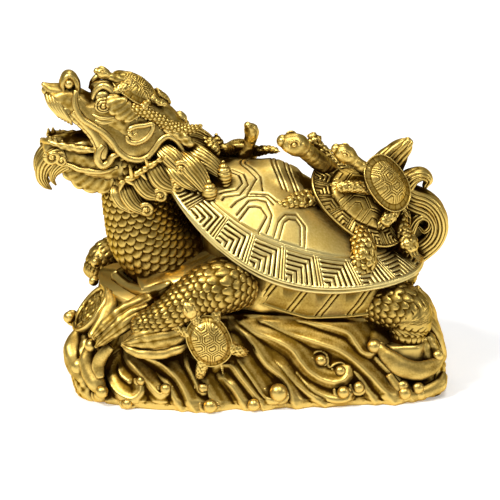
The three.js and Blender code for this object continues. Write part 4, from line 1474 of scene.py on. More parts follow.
@dataclass
class Head:
    """The dragon's head, its mouth open, lifted to the front."""

    eye: Sequence[float] = (-52.7, -8.2, 104.2)  # mm
    face: Sequence[Station] = (
        (-26, 0, 90, 7.6, 5), (-33, 0, 93.5, 10, 8.6), (-41, 0, 95.6, 10.6, 10.6), (-48, 0, 97.4, 9.6, 9.6),
        (-54, 0, 99, 8.4, 7.6), (-59, 0, 100.4, 7.4, 5.8), (-64, 0, 103.8, 6.4, 5.4),
        (-69, 0, 105.5, 5.2, 4.4), (-72.4, 0, 107.8, 2.0, 1.8),
    )
    jaw: Sequence[Station] = (
        (-45.9, 0, 80.5, 9.6, 6.4), (-51.2, 0, 80.3, 9.2, 6), (-55.9, 0, 81, 8.6, 5.5),
        (-60.2, 0, 82.4, 7.8, 5), (-64.5, 0, 84.1, 6.8, 4.5), (-68.4, 0, 85.9, 5.6, 3.8),
        (-71.7, 0, 87, 4.2, 2.9),
    )
    cheek_rim: Sequence[Station] = (
        (-62.3, -5.2, 109.1, 1), (-62.9, -6, 106, 1.1), (-62.2, -6.8, 102.5, 1.2), (-60.2, -7.6, 99.3, 1.3),
        (-56.6, -8.4, 97, 1.3), (-52.8, -9.2, 94.5, 1.3),
        (-49.6, -10, 91.2, 1.3), (-47.5, -10.8, 87.9, 1.3), (-44.2, -11.4, 85.5, 1.3),
        (-40.5, -11.8, 84.8, 1.3), (-37.4, -11.8, 85.8, 1.3), (-35.1, -11.6, 88.5, 1.2),
        (-32.9, -11.2, 91.5, 1.2), (-30.2, -10.8, 93, 1.2), (-27.4, -10.6, 91.5, 1.1),
        (-25.5, -10.6, 88.6, 1), (-24.2, -10.8, 85.2, 0.7),
    )

    def skull(self) -> None:
        """Makes the face, the jaw, the cheeks and the lips."""
        crease = added(rough(0.16, 5, 11), rough(0.07, 2.2, 12))
        lumps = [limb(self.face, power=2.3, step=0.36, relief=crease)]
        lumps += [limb(self.jaw, power=3.0, step=0.4, relief=crease, tips=(0.3, 0.7))]
        palate = (
            (-44, 0, 89, 7.6, 3), (-54, 0, 88.5, 7.4, 3), (-64, 0, 88.2, 6.2, 2.2), (-70, 0, 88, 4.6, 1.6)
        )
        lumps.append(limb(palate, power=3, step=0.5, relief=rough(0.3, 3)))
        flat = {"up": (0.1, -1, 0.25), "power": 2.6, "step": 0.34}
        cheek = (
            (-61.7, -4.4, 105.7, 0.8, 1.4), (-59.2, -5.4, 101.5, 2, 1.8), (-55, -6.6, 98, 3, 2),
            (-50.1, -7.6, 94.4, 4.4, 2.2), (-45.2, -8.6, 90.8, 5.4, 2.3), (-40.2, -9.2, 89, 5, 2.2),
            (-35.9, -9.4, 90.8, 4, 2), (-32.3, -9.2, 93.6, 2.6, 1.6),
        )
        lip_band = (
            (-63.2, -6, 101.8, 1.8, 1.3), (-60.4, -6.6, 98.9, 2, 1.5), (-56.9, -7.4, 95.3, 2.1, 1.6),
            (-54.5, -8, 91.6, 2.2, 1.6), (-53.1, -8.4, 88.3, 2.2, 1.5), (-53.1, -8.6, 85, 1.7, 1.3),
        )
        gum = (
            (-66.4, -5.2, 102.4, 1.6, 1.2), (-63.6, -5.8, 99.5, 1.5, 1.2), (-60, -6.4, 96.2, 1.4, 1.2),
            (-57.2, -7, 92.9, 1.4, 1.2), (-55.5, -7.6, 89.2, 1.3, 1.1),
        )
        lumps += both(cheek, relief=rough(0.1, 4), **flat) + both(lip_band, relief=rough(0.08, 4), **flat)
        lumps += both(gum, relief=ringed(2.4, 0.15), **flat)
        lumps += both(self.cheek_rim, up=(0.1, -1, 0.25), step=0.3)
        corner = (
            (-53.1, -9.2, 89.7, 1.2), (-54.8, -9.4, 87.2, 1.4), (-55, -9.6, 84.2, 1.5),
            (-53.2, -9.8, 82.4, 1.5), (-51, -10, 83.5, 1.4), (-49.6, -10.2, 85.8, 1.3),
            (-47.5, -10.2, 86.5, 0.8),
        )
        lumps += both(corner, step=0.3)
        jaw_rim = (
            (-71.7, -4.4, 89.7, 1), (-68.6, -5.8, 89.2, 1.3), (-64.4, -6.8, 88.5, 1.5),
            (-60.2, -7.6, 87.9, 1.5), (-55.9, -8.2, 87.8, 1.2),
        )
        lumps += both(jaw_rim, step=0.3, relief=rough(0.15, 2))
        jaw_line = (
            (-66.6, -7.2, 82.6, 0.7), (-62.3, -8, 80.9, 1), (-57.4, -8.8, 79.9, 1.1), (-52.4, -9.4, 79.9, 1),
            (-48.2, -10, 81.5, 0.7),
        )
        lumps += both(jaw_line, step=0.34, relief=rough(0.15, 3))
        front = ((-71.4, -4.6, 89.8, 1.1), (-72.7, 0, 88.5, 1.2), (-73.1, 4.6, 87.3, 1.1))
        lumps.append(limb(front, step=0.3))
        tongue = (
            (-48, 0, 86, 4, 2), (-58, 0, 86.2, 4, 1.6), (-64, 0, 87.0, 2.6, 1.2), (-66, 0, 88, 1.0, 0.7)
        )
        lumps.append(limb(tongue, step=0.5))
        Piece("skull", lumps, HEAD_FINISH)

    def nose(self) -> list[Lump]:
        """Returns the tip of the nose, the curled nostrils and the folds of the muzzle."""
        tip = ((-66, 0, 107, 4.2, 3), (-70.6, 0, 108.2, 3.0, 2.2), (-73.4, 0, 110, 1.2, 0.9))
        lumps = [limb(tip, step=0.3)]
        nostril = (
            (-61.8, -1.5, 104.7, 1, 3.4), (-61.6, -1.5, 107.7, 1.2, 3.4), (-61.9, -1.5, 110.8, 1.3, 3.2),
            (-63.2, -1.5, 113.3, 1.4, 3), (-64.8, -1.5, 114.1, 1.4, 2.9), (-66.2, -1.5, 113, 1.3, 2.9),
            (-66.9, -1.5, 110.9, 1.2, 2.8), (-66.6, -1.5, 109, 0.9, 2.6),
        )
        lumps.append(limb(nostril, up=(0, 1, 0), power=2.4, step=0.28, relief=rough(0.1, 3)))
        lumps += [Lump.ball((-64.7, side.value * 4.2, 111.3), (1.6, 1.5, 1.7)) for side in Side]
        for k in range(5):
            fold = [
                (-72.6 + 1.0 * k, -2.6 - 0.5 * k, 107.2 - 0.3 * k, 0.5),
                (-71.8 + 1.1 * k, -4.4 - 0.35 * k, 104.2 - 0.3 * k, 0.75),
                (-69.4 + 1.1 * k, -5.2 - 0.35 * k, 101.2 - 0.5 * k, 0.8),
                (-68.4 + 1.1 * k, -5.0 - 0.3 * k, 99.4 - 0.6 * k, 0.5),
            ]
            lumps += both(fold, step=0.3)
        return lumps

    def eyes(self) -> list[Lump]:
        """Returns the eyes with their ringed lids, the round brows over them and the leaves behind."""
        lumps = []
        x, y, z = self.eye
        for side in Side:
            lumps.append(Lump.ball((x, side.value * -y, z), (1.2, 1.3, 1.2)))
            lumps.append(Lump.ball((x + 0.2, side.value * 3.2, z + 2.6), (4.2, 3.8, 3.0)))
        for radius, thick, out in ((1.8, 0.5, 0.3), (2.9, 0.55, -0.2)):
            depth = y - out + 0.1 * radius
            turns = [(radius * math.cos(a), 0.86 * radius * math.sin(a)) for a in np.linspace(0, TURN, 15)]
            lid = [(x + along, depth, z + up, thick) for along, up in turns]
            lumps += both(lid, step=0.25, tips=(0.1, 0.1))
        for shift in (0.0, 1.7):
            bag = [
                (x - 4.0, y + 0.8, z - 3.4 - shift, 0.4),
                (x - 0.6, y - 0.3, z - 4.6 - shift, 0.8),
                (x + 3.4, y - 0.6, z - 4.0 - shift, 0.5),
            ]
            lumps += both(bag, step=0.3)
        leaf = (
            (-50.9, -8, 107.5, 1.6, 1.2), (-48.8, -9.4, 105.6, 3.2, 1.7), (-46.7, -10, 103.5, 3.8, 1.8),
            (-44.3, -10.2, 101.6, 3, 1.6), (-41.4, -10, 100.3, 1.2, 1),
        )
        lumps += both(leaf, up=(0.1, -1, 0.3), power=2.4, step=0.28, relief=frilled(3.0, 0.7))
        brow = (
            (-56.4, -5.6, 106, 0.8), (-55.3, -5.2, 108.9, 1.2), (-52.8, -5.4, 110.8, 1.4),
            (-50.3, -6, 109.8, 1.3), (-48.6, -7, 107.4, 0.9),
        )
        return lumps + both(brow, step=0.3)

    def horns(self) -> list[Lump]:
        """Returns the antlers and the leaf-shaped ears."""
        horn = dotted(1.4, 0.32)
        antler = (
            (-44.5, -8.5, 103.6, 1.6), (-40.9, -8.8, 102.5, 2.1), (-36.6, -9, 100.5, 2.2),
            (-32.3, -9, 98.1, 2.2), (-29.5, -9, 95.8, 2.4), (-25.2, -9, 94.5, 2.2), (-21.2, -9, 94.9, 1.5),
            (-18, -9, 96, 0.45),
        )
        lumps = [limb(antler, step=0.26, relief=horn)]
        branch = (
            (-30.9, -9.4, 95.9, 1.8), (-27.7, -9.8, 93.7, 1.9), (-24.5, -10, 91.8, 2.1), (-22.7, -10, 89.8, 2)
        )
        lumps += both(branch, step=0.28, relief=rough(0.2, 2))
        near_tine = ((-39.5, -9, 102.2, 1.5), (-38.1, -9.2, 104.5, 1.3), (-37, -9.2, 105.9, 0.6))
        lumps += both(near_tine, step=0.28, relief=horn)
        far = ((-37, 3, 97, 2.2), (-32.7, 3, 95.7, 2.4), (-28.4, 3, 94.8, 2.5), (-24.8, 3, 94.5, 2.7))
        lumps.append(limb(far, step=0.28, relief=rough(0.1, 2)))
        ear = (
            (-41.2, -11.6, 94.8, 0.5), (-42.6, -11.7, 93.7, 0.7), (-43.8, -11.7, 94.7, 0.9),
            (-43.7, -11.7, 96.4, 1), (-41.5, -11.6, 97.3, 1), (-38.6, -11.4, 97.5, 1),
            (-35.9, -11.2, 97.9, 0.9), (-35.6, -11.4, 96.4, 0.9), (-36.9, -11.7, 93.9, 1),
            (-39, -11.9, 92, 1), (-41.9, -12, 91.2, 1), (-44.2, -12, 92, 0.9), (-44.8, -11.9, 93.5, 0.6),
        )
        inner = (
            (-43.6, -11.2, 94, 2, 0.5), (-41.1, -11.4, 94.1, 3, 0.6), (-38.2, -11.2, 95.1, 2.4, 0.6),
            (-36.1, -11, 96.7, 0.7, 0.4),
        )
        return lumps + both(ear, step=0.28) + both(inner, up=(0, -1, 0.2), step=0.4)

    def features(self) -> None:
        """Makes the nose, the eyes, the horns, the ears and the teeth."""
        lumps = self.nose() + self.eyes() + self.horns()
        teeth = (
            ((-69.6, -5.2, 90, 1), (-69.8, -5, 91.6, 0.4)),
            ((-71.3, -4.4, 90.1, 0.9), (-71.5, -4.2, 91.7, 0.35)),
            ((-67.2, -6, 89.4, 0.7), (-67.3, -5.8, 90.7, 0.3)),
            ((-68.5, -4.4, 102.9, 0.9), (-68.3, -4.2, 100.9, 0.35)),
            ((-65.3, -5.2, 100.8, 0.7), (-65.1, -5, 99.2, 0.3)),
        )
        for tooth in teeth:
            lumps += both(tooth, step=0.25)
        Piece("features", lumps, HEAD_FINISH)

    def hair(self) -> None:
        """Makes the beard, the leafy fringe under the jaw and the thorny whiskers."""
        lumps: list[Lump] = []
        locks = [
            (
                (-66.4, -5.2, 85.3, 3.2, 2), (-70.3, -5.2, 83.9, 3.6, 2.2), (-73.5, -4.8, 80.8, 3.2, 2),
                (-74.4, -4.4, 76.9, 2.4, 1.6), (-73.1, -4, 73.7, 1.5, 1.2), (-71.3, -3.8, 72, 0.5, 0.5),
            ),
            (
                (-65.8, -6.4, 82.3, 2.6, 1.7), (-68.3, -6.4, 81.2, 2.6, 1.7), (-70.4, -6.2, 78.9, 1.9, 1.4),
                (-70.8, -6, 76.2, 1, 0.9), (-69.7, -5.8, 74.2, 0.4, 0.4),
            ),
            (
                (-67.5, -1.5, 85.1, 2.4, 2), (-71.8, -1.5, 83.4, 2.6, 2), (-74.3, -1.5, 80, 2, 1.6),
                (-74.3, -1.5, 76.6, 0.6, 0.6),
            ),
        ]
        for lock in locks:
            lumps += both(lock, up=(0.2, -1, 0.2), power=2.4, step=0.28, relief=combed(5, 0.35))
        for centre, radius, start in (((-70.9, -7.6, 85.5), 2.7, 2.6), ((-67.7, -8, 84.1), 1.9, 2.0)):
            lumps += both(whorl(centre, radius, start), step=0.26)
        fringe = (
            (-66.5, -6.6, 80.9, 1.4, 0.7), (-63.7, -6.8, 78.2, 2.8, 0.8), (-60.1, -7, 76.2, 3.4, 0.9),
            (-56.2, -7.2, 74.7, 3.4, 0.9), (-52.3, -7.6, 74.3, 2.8, 0.8), (-49.4, -8, 75.9, 1.2, 0.7),
        )
        lumps += both(fringe, up=(0.05, -1, 0.1), power=2.2, step=0.3, relief=frilled(4.6, 0.8))
        throat = ((-61.6, 0, 78.7, 5.4, 2.6), (-56.6, 0, 76.6, 7, 3.2), (-50.9, 0, 74.9, 8, 4))
        lumps.append(limb(throat, step=0.5, relief=rough(0.25, 3)))
        stem = (
            (-47.6, -11.8, 76.1, 0.7), (-45.2, -12.4, 77.7, 1.3, 1), (-42, -13, 79.4, 1.5, 1.1),
            (-38.5, -13.6, 82.1, 1.5, 1.1), (-34.9, -14, 84.4, 1.3, 1), (-31.3, -14.2, 86.3, 0.6),
        )
        lumps += both(stem, step=0.28, relief=rough(0.3, 1.8))
        thorns = (
            ((-46.2, -12.2, 77.3, 1.2), (-47.3, -12.4, 74, 0.5)),
            ((-43.1, -13, 79, 1.1), (-43.8, -13.2, 82.5, 0.4)),
            ((-40.2, -13.4, 81, 1.1), (-38.1, -13.8, 78, 0.4)),
            ((-37.4, -13.8, 82.9, 1), (-38.5, -13.8, 86, 0.4)),
            ((-44.8, -12.6, 77.8, 1.2), (-42, -13, 75.6, 0.5)),
        )
        for thorn in thorns:
            lumps += both(thorn, step=0.28)
        Piece("beard", lumps, CAST)

    def build(self) -> None:
        """Makes the head."""
        self.skull()
        self.features()
        self.hair()


@dataclass
class Mane:
    """Combed locks that sweep back from the cheek and end in rolled lobes or ringed knobs."""

    rolled: Sequence[tuple[Sequence[Station], Sequence[float], float]] = (
        (
            (
                (-33.7, -8, 88.7, 1.4, 1), (-31.5, -11.6, 87.6, 3.2, 1.6), (-28.4, -13.6, 85.2, 3.6, 1.8),
                (-26, -14.6, 82.5, 2.6, 1.6),
            ),
            (-25.8, -16, 82.6), 2.6,
        ),
        (
            (
                (-36.2, -8, 84.6, 1.4, 1), (-34.7, -12, 81.8, 3.8, 1.8), (-32, -13.8, 77.8, 4.2, 1.9),
                (-28.2, -14.6, 75.3, 2.8, 1.7),
            ),
            (-27.2, -16, 76), 2.8,
        ),
        (
            (
                (-41.2, -8, 80.6, 1.4, 1), (-39.7, -11.4, 77.6, 3.8, 1.8), (-37.3, -12.8, 73.8, 3.6, 1.8),
                (-34.1, -13.4, 71.9, 2.4, 1.6),
            ),
            (-33.2, -14.8, 72.1), 2.5,
        ),
        (
            (
                (-45.8, -7, 76.6, 1.4, 1), (-44.6, -10.6, 72.9, 3.4, 1.7), (-42.3, -12, 68.8, 3.2, 1.7),
                (-39.1, -12.4, 66.3, 2.2, 1.5),
            ),
            (-38.1, -13.6, 66.4), 2.5,
        ),
        (
            (
                (-48.5, -6, 74.8, 1.2, 0.9), (-48.2, -9.8, 71.9, 2.6, 1.5), (-46.5, -10.8, 68.5, 2.4, 1.5),
                (-44, -11.2, 66.4, 1.7, 1.2),
            ),
            (-43.4, -12.2, 66.4), 1.8,
        ),
        (
            (
                (-31.6, -9, 84.4, 1.2, 0.9), (-27.8, -14.4, 81.7, 3.4, 1.8), (-24, -16.2, 78.1, 3.2, 1.8),
                (-20.8, -16.8, 75.1, 1.2, 1),
            ),
            (-21.2, -17, 77.1), 1.4,
        ),
    )
    knobbed: Sequence[Sequence[Station]] = (
        (
            (-27.3, -9, 86.6, 1.6, 1.2), (-23.5, -14.4, 83.8, 4, 2.1), (-20.1, -16.6, 80, 3.8, 2),
            (-17.7, -17.8, 76.2, 2.8, 1.8),
        ),
        (
            (-24.8, -5, 86.6, 1.6, 1.2), (-20.3, -10.4, 85.3, 4, 2.1), (-15.8, -12.6, 83, 3.4, 1.9),
            (-12.3, -13.8, 80.2, 2.4, 1.7),
        ),
        ((-25.1, 0, 86.3, 3, 2), (-20.1, 0, 84.2, 3.2, 2), (-15.8, 0, 82.9, 2.2, 1.6)),
        (
            (-23.9, -3, 86.6, 3, 2), (-18.4, -6, 83.7, 3.4, 2), (-13.2, -8, 80.8, 2.4, 1.7),
            (-9.4, -9, 78.4, 1, 0.9),
        ),
    )
    knobs: Sequence[Sequence[Station]] = (
        (
            (-15.6, -18.4, 71.7, 2.2), (-16, -18.6, 73.7, 2.9), (-16.1, -18.6, 76, 2.6),
            (-16.3, -18.4, 78.2, 0.9),
        ),
        (
            (-10.2, -14.4, 76.2, 2), (-10.4, -14.6, 78.6, 2.8), (-10.6, -14.6, 81.2, 2.5),
            (-10.8, -14.4, 83.8, 0.8),
        ),
        ((-12.7, 2, 83.3, 2), (-13.4, 2, 84.4, 2.6), (-14.9, 2, 86, 2), (-16, 2, 87.2, 0.7)),
    )

    def build(self) -> None:
        """Makes the collar and all its locks."""
        lean = (0.1, -1, 0.4)
        collar = ((-41, 0, 79, 9.6, 8), (-33, 0, 81, 10.4, 8.6), (-25, 0, 82.5, 9.5, 6), (-17, 0, 82, 7, 3))
        lumps = [limb(collar, up=(0.4, 0, 1), step=0.5, relief=combed(18, 0.4))]
        for stations, centre, radius in self.rolled:
            lumps += both(stations, up=lean, power=2.5, step=0.32, relief=combed(7, 0.36))
            lumps += both(whorl(centre, radius, 2.4, 1.4, -1), step=0.26)
            for side in Side:
                hub = (centre[0], side.value * (-centre[1] - 0.8), centre[2])
                lumps.append(Lump.ball(hub, (radius, 1.2, radius)))
        Piece("mane_curls", lumps, CAST)
        lumps = []
        for stations in self.knobbed:
            lumps += both(stations, up=lean, power=2.5, step=0.3, relief=combed(7, 0.36))
        for stations in self.knobs:
            lumps += both(stations, step=0.28, relief=ringed(1.5, 0.4), tips=(1.0, 1.0))
        Piece("mane_knobs", lumps, CAST)


@dataclass
class Tail:
    """The tail behind the shell: a flame, a hook and a large open swirl."""

    flame: Sequence[Station] = (
        (43, 4, 58, 3.6, 7), (46, 4, 68, 3.8, 7), (49.6, 4, 74.5, 3.6, 6), (53, 3.5, 79.2, 3.0, 4.6),
        (55.8, 3, 82.2, 2.3, 3.1), (57.2, 3, 83.7, 1.5, 1.9),
    )
    hook: Sequence[Station] = (
        (47, 0, 48, 4.4, 8), (50.5, 0, 59, 4.4, 6.2), (54, 0, 66.5, 4.4, 5), (57.6, 0, 71, 4.2, 3.2),
        (61.4, 0, 72, 3.8, 2.3), (63.6, 0, 70.2, 3.4, 1.8), (62.6, 0, 68, 2.8, 1.2),
    )
    swirl: Sequence[Station] = (
        (52.3, 0, 67.9, 4.2, 3.2), (57.3, 0, 64.7, 4.6, 3.6), (63.1, 0, 62.2, 4.8, 3.2),
        (67, 0, 57.9, 4.8, 3), (68.1, 0, 52.2, 4.6, 3), (65.9, 0, 46.9, 4.6, 3.2), (61.3, 0, 42.9, 4.4, 3.6),
        (55.2, 0, 38.9, 4.2, 4),
    )
    middle_swirl: Sequence[Station] = (
        (53, 0, 62.5, 4.2, 3), (58.4, 0, 60.1, 4.4, 2.8), (63.1, 0, 57.6, 4.4, 2.4),
        (65.4, 0, 53.4, 4.4, 2.2), (64.1, 0, 48.9, 4.2, 2.4), (60.6, 0, 45.6, 4.2, 2.8),
        (55.2, 0, 42.7, 4, 3.2),
    )
    inner_swirl: Sequence[Station] = (
        (55.1, -0.5, 45.9, 4, 2.8), (56.6, -0.5, 51.2, 4.2, 2.8), (58.4, -0.5, 55.3, 4.2, 2.4),
        (61.2, -0.5, 56.9, 4, 1.9), (63.6, -0.5, 55.7, 3.8, 1.6), (63.9, -0.5, 53.2, 3.6, 1.5),
        (62, -0.5, 51.4, 3.4, 1.4), (60.3, -0.5, 52.8, 3, 1),
    )

    def build(self) -> None:
        """Makes the tail with its combed strands."""
        shared = {"power": 2.6, "step": 0.34, "tips": (0.3, 0.5)}
        lumps = [limb(self.flame, up=(1, 0, 0.1), relief=self.strands(0.55, 1.25), **shared)]
        hair = self.strands(0.5, 1.25, flat_across=True)
        for curl in (self.hook, self.swirl, self.middle_swirl, self.inner_swirl):
            turned = [(*s[:3], s[4], s[3]) for s in curl]
            lumps.append(limb(turned, up=(0, 1, 0), relief=hair, **shared))
        lumps += [Lump.ball((51, 0, 50), (6, 3.6, 14)), Lump.ball((59.5, 1.5, 50.5), (5, 1.6, 8))]
        Piece("tail", lumps, CAST)

    @staticmethod
    def strands(depth: float, pitch: float, flat_across: bool = False) -> Relief:
        """Strands of an even width that run lengthwise, on the flat sides.

        Args:
            depth: mm of the grooves.
            pitch: mm from one groove to the next.
            flat_across: whether the flat sides are those across the path.

        Returns:
            The relief.
        """

        def relief(p: Place) -> Array:
            """Returns the height of the strands."""
            half = p.girth / 9.0
            turned = np.cos(p.angle) if flat_across else np.sin(p.angle)
            across = half * turned + 0.25 * waver(p.points, 10, 9)
            groove = np.abs(np.sin(np.pi * across / pitch)) ** 0.6 - 1
            return depth * groove

        return relief


SCUTES = (  # in sizes: the middles of the plates on a little turtle's shell
    (-0.62, 0), (-0.2, 0), (0.22, 0), (0.64, 0), (-0.42, 0.42), (0.0, 0.46), (0.42, 0.4),
    (-0.42, -0.42), (0.0, -0.46), (0.42, -0.4),
)


@dataclass
class LittleTurtle:
    """A small turtle: patterned shell, scaled neck, head with eyes and mouth, and four feet.

    It is drawn with its shell 2 units long, its belly at the origin, looking along x.
    """

    name: str
    at: Sequence[float]  # mm, where its belly is
    facing: Sequence[float]
    up: Sequence[float]
    size: float  # mm, half the length of its shell
    neck: Sequence[float]  # in sizes, from the shell's front to the head
    thickness: float  # in sizes, of its limbs
    columns: int = 120  # points round its shell
    frets: int = 0  # panels of its margin, 0 for plain lines
    step: float = 0.3  # mm between the points of its limbs
    band: float = 0.76  # share of the shell inside its margin
    flat: bool = False  # whether a flat margin goes round a lower dome
    neck_path: Sequence[Station] = ()  # mm, instead of the usual neck
    head_path: Sequence[Station] = ()  # mm, instead of the usual head
    legs: Sequence[Sequence[Station]] = ()  # mm, instead of the usual four

    def __post_init__(self) -> None:
        """Works out its own axes."""
        ahead = unit(np.array(self.facing, float))
        top = np.array(self.up, float)
        top = unit(top - ahead * (top @ ahead))
        self.axes = np.stack([ahead, np.cross(top, ahead), top])

    def place(self, points: Array) -> Array:
        """Returns places drawn on the turtle in grid mm."""
        return np.array(self.at) + self.size * (np.asarray(points, float) @ self.axes)

    def height(self, share: float) -> float:
        """Returns how high the shell stands at a share of its plan, in sizes."""
        lip = 0.05 * smooth(share, 0.93, 0.98)
        step = 0.03 * smooth(share, self.band - 0.01, self.band + 0.015)
        if self.flat:
            inner = 0.17 + 0.3 * (1 - (min(share, self.band) / self.band) ** 2.2)
            return inner - step - 0.05 * smooth(share, self.band, 0.95) + 0.6 * lip
        return 0.08 + 0.5 * (1 - share**2.1) - step + lip

    def margin_relief(self, share: float, turn: Array) -> Array:
        """Returns the relief of one ring of the shell's margin, mm, at a share of its plan."""
        count = self.frets or 18
        panel = 5.0 * self.size / count
        along = (turn / TURN * count) % 1.0 * panel
        if not self.frets:
            return -0.12 * line((along - panel / 2), 0.2) * (share < 0.93)
        inward = (share - self.band - 0.015) * self.size * 0.95
        reach = (0.95 - self.band) * self.size
        return fret(along, np.full_like(along, inward), panel, reach, 1.4, 0.4)

    def shell(self) -> Lump:
        """Returns the shell with its scutes and margin."""
        turn = TURN * np.arange(self.columns) / self.columns
        centres = np.array([[x, y, 0.6 - 0.25 * abs(y)] for x, y in SCUTES]) * self.size
        rings = []
        for share in np.linspace(0.015, 1.0, max(24, self.columns // 3)):
            x, y = oblong(turn, share, 0.78 * share, 2.3)
            spot = np.stack([x, y, np.full_like(x, self.height(share))], -1)
            if share > self.band:
                relief = self.margin_relief(share, turn)
            else:
                flat = spot.copy()
                flat[:, 2] = 0.6 - 0.25 * np.abs(y)
                relief = scutes(flat * self.size, centres, (0.35, 0.095 * self.size + 0.3), 0.2, 0.3)
            spot[:, 2] += relief / self.size
            rings.append(self.place(spot))
        for share, z in ((0.985, 0.045), (0.95, 0.0), (0.85, -0.04), (0.75, -0.12), (0.5, -0.17)):
            x, y = oblong(turn, share, 0.78 * share, 2.3)
            rings.append(self.place(np.stack([x, y, np.full_like(x, z)], -1)))
        return Lump.wrapped(np.stack(rings))

    def grown(self, stations: Sequence[Station]) -> list[Station]:
        """Returns stations drawn on the turtle in grid mm."""
        return [[*self.place(s[:3]), *(h * self.size for h in s[3:])] for s in stations]

    def head(self) -> list[Lump]:
        """Returns the neck and the head."""
        x, y, z = 0.8 + self.neck[0], self.neck[1], 0.08 + self.neck[2]
        t = self.thickness
        skin = scaled(0.095 * self.size, 0.11 * self.size, 0.03 * self.size)
        if self.neck_path:
            skin = added(ringed(2.6, 0.13), rough(0.08, 2))

        def mouth(p: Place) -> Array:
            """Returns the groove of the mouth."""
            return -0.014 * self.size * line(np.sin(p.angle) + 0.3, 0.11) * smooth(p.share, 0.3, 0.55)

        usual_neck = (
            (0.55, 0, 0, 1.15 * t),
            (0.5 * (0.6 + x), 0.5 * y, 0.45 * z, 0.92 * t),
            (x - 0.1, y, z - 0.05, 0.85 * t),
        )
        usual_head = (
            (x - 0.16, y, z, 0.9 * t, 0.85 * t),
            (x + 0.04, y, z + 0.05, 1.18 * t, 1.05 * t),
            (x + 0.26, y, z + 0.04, 0.95 * t, 0.85 * t),
            (x + 0.42, y, z - 0.02, 0.5 * t, 0.5 * t),
        )
        neck = self.neck_path or self.grown(usual_neck)
        skull = self.head_path or self.grown(usual_head)
        face = added(rough(0.01 * self.size, 0.2 * self.size), mouth)
        shared = {"up": tuple(self.axes[2]), "step": self.step}
        lumps = [limb(neck, relief=skin, **shared), limb(skull, relief=face, **shared)]
        return lumps + self.eyes(np.array(skull[1], float), np.array(skull[2], float))

    def eyes(self, back: Array, front: Array) -> list[Lump]:
        """Returns the two eyes in their lids, between two stations of the head."""
        lumps = []
        ahead = unit(front[:3] - back[:3])
        across = unit(np.cross(ahead, self.axes[2] + [0, 0.35, 0.6]))
        upwards = np.cross(across, ahead)
        middle, width = 0.4 * back[:3] + 0.6 * front[:3], back[3]
        for side in Side:
            eye = middle + side.value * 0.76 * width * across + 0.3 * width * upwards
            lumps.append(Lump.ball(eye, (0.24 * width,) * 3, 3))
            lid = []
            for a in np.linspace(0, TURN, 11):
                spot = eye + 0.42 * width * (math.cos(a) * ahead + math.sin(a) * upwards)
                lid.append((*spot, 0.11 * width))
            lumps.append(limb(lid, step=0.16, tips=(0.1, 0.1)))
        return lumps

    def feet(self) -> list[Lump]:
        """Returns the scaled feet with their claws."""
        t = self.thickness
        scales = scaled(0.09 * self.size, 0.1 * self.size, 0.03 * self.size)
        skin = added(scales, rough(0.012 * self.size, 0.12 * self.size))
        legs = list(self.legs)
        if not legs:
            for side in (-1, 1):
                front = (
                    (0.55, 0.5 * side, 0, 0.95 * t, 0.7 * t),
                    (0.95, 0.78 * side, -0.06, 0.8 * t, 0.55 * t),
                    (1.2, 0.98 * side, -0.16, 0.62 * t, 0.4 * t),
                )
                rear = (
                    (-0.55, 0.5 * side, 0, 0.95 * t, 0.7 * t),
                    (-0.9, 0.76 * side, -0.08, 0.85 * t, 0.55 * t),
                    (-1.1, 0.92 * side, -0.2, 0.62 * t, 0.4 * t),
                )
                legs += [self.grown(front), self.grown(rear)]
        lumps = []
        for leg in legs:
            lumps.append(limb(leg, up=tuple(self.axes[2]), step=self.step, relief=skin))
            end, before, wide = np.array(leg[-1][:3]), np.array(leg[-2][:3]), leg[-1][3]
            ahead = unit(end - before)
            across = unit(np.cross(ahead, self.axes[2]))
            for k in (-1, 0, 1):
                root = end + across * 0.6 * wide * k
                tip = root + ahead * 1.1 * wide - self.axes[2] * 0.2 * wide
                lumps.append(limb([(*root, 0.32 * wide), (*tip, 0.1 * wide)], step=0.2))
        return lumps

    def build(self) -> None:
        """Makes the turtle."""
        t = self.thickness
        lumps = [self.shell(), *self.head(), *self.feet()]
        tail = self.grown(
            ((-0.85, 0, 0, 0.35 * t), (-1.1, 0.04, 0.02, 0.28 * t), (-1.34, 0.12, 0.1, 0.08 * t))
        )
        rings = ringed(0.06 * self.size, 0.02 * self.size)
        lumps.append(limb(tail, up=tuple(self.axes[2]), step=self.step, relief=rings))
        Piece(self.name, lumps, CAST)


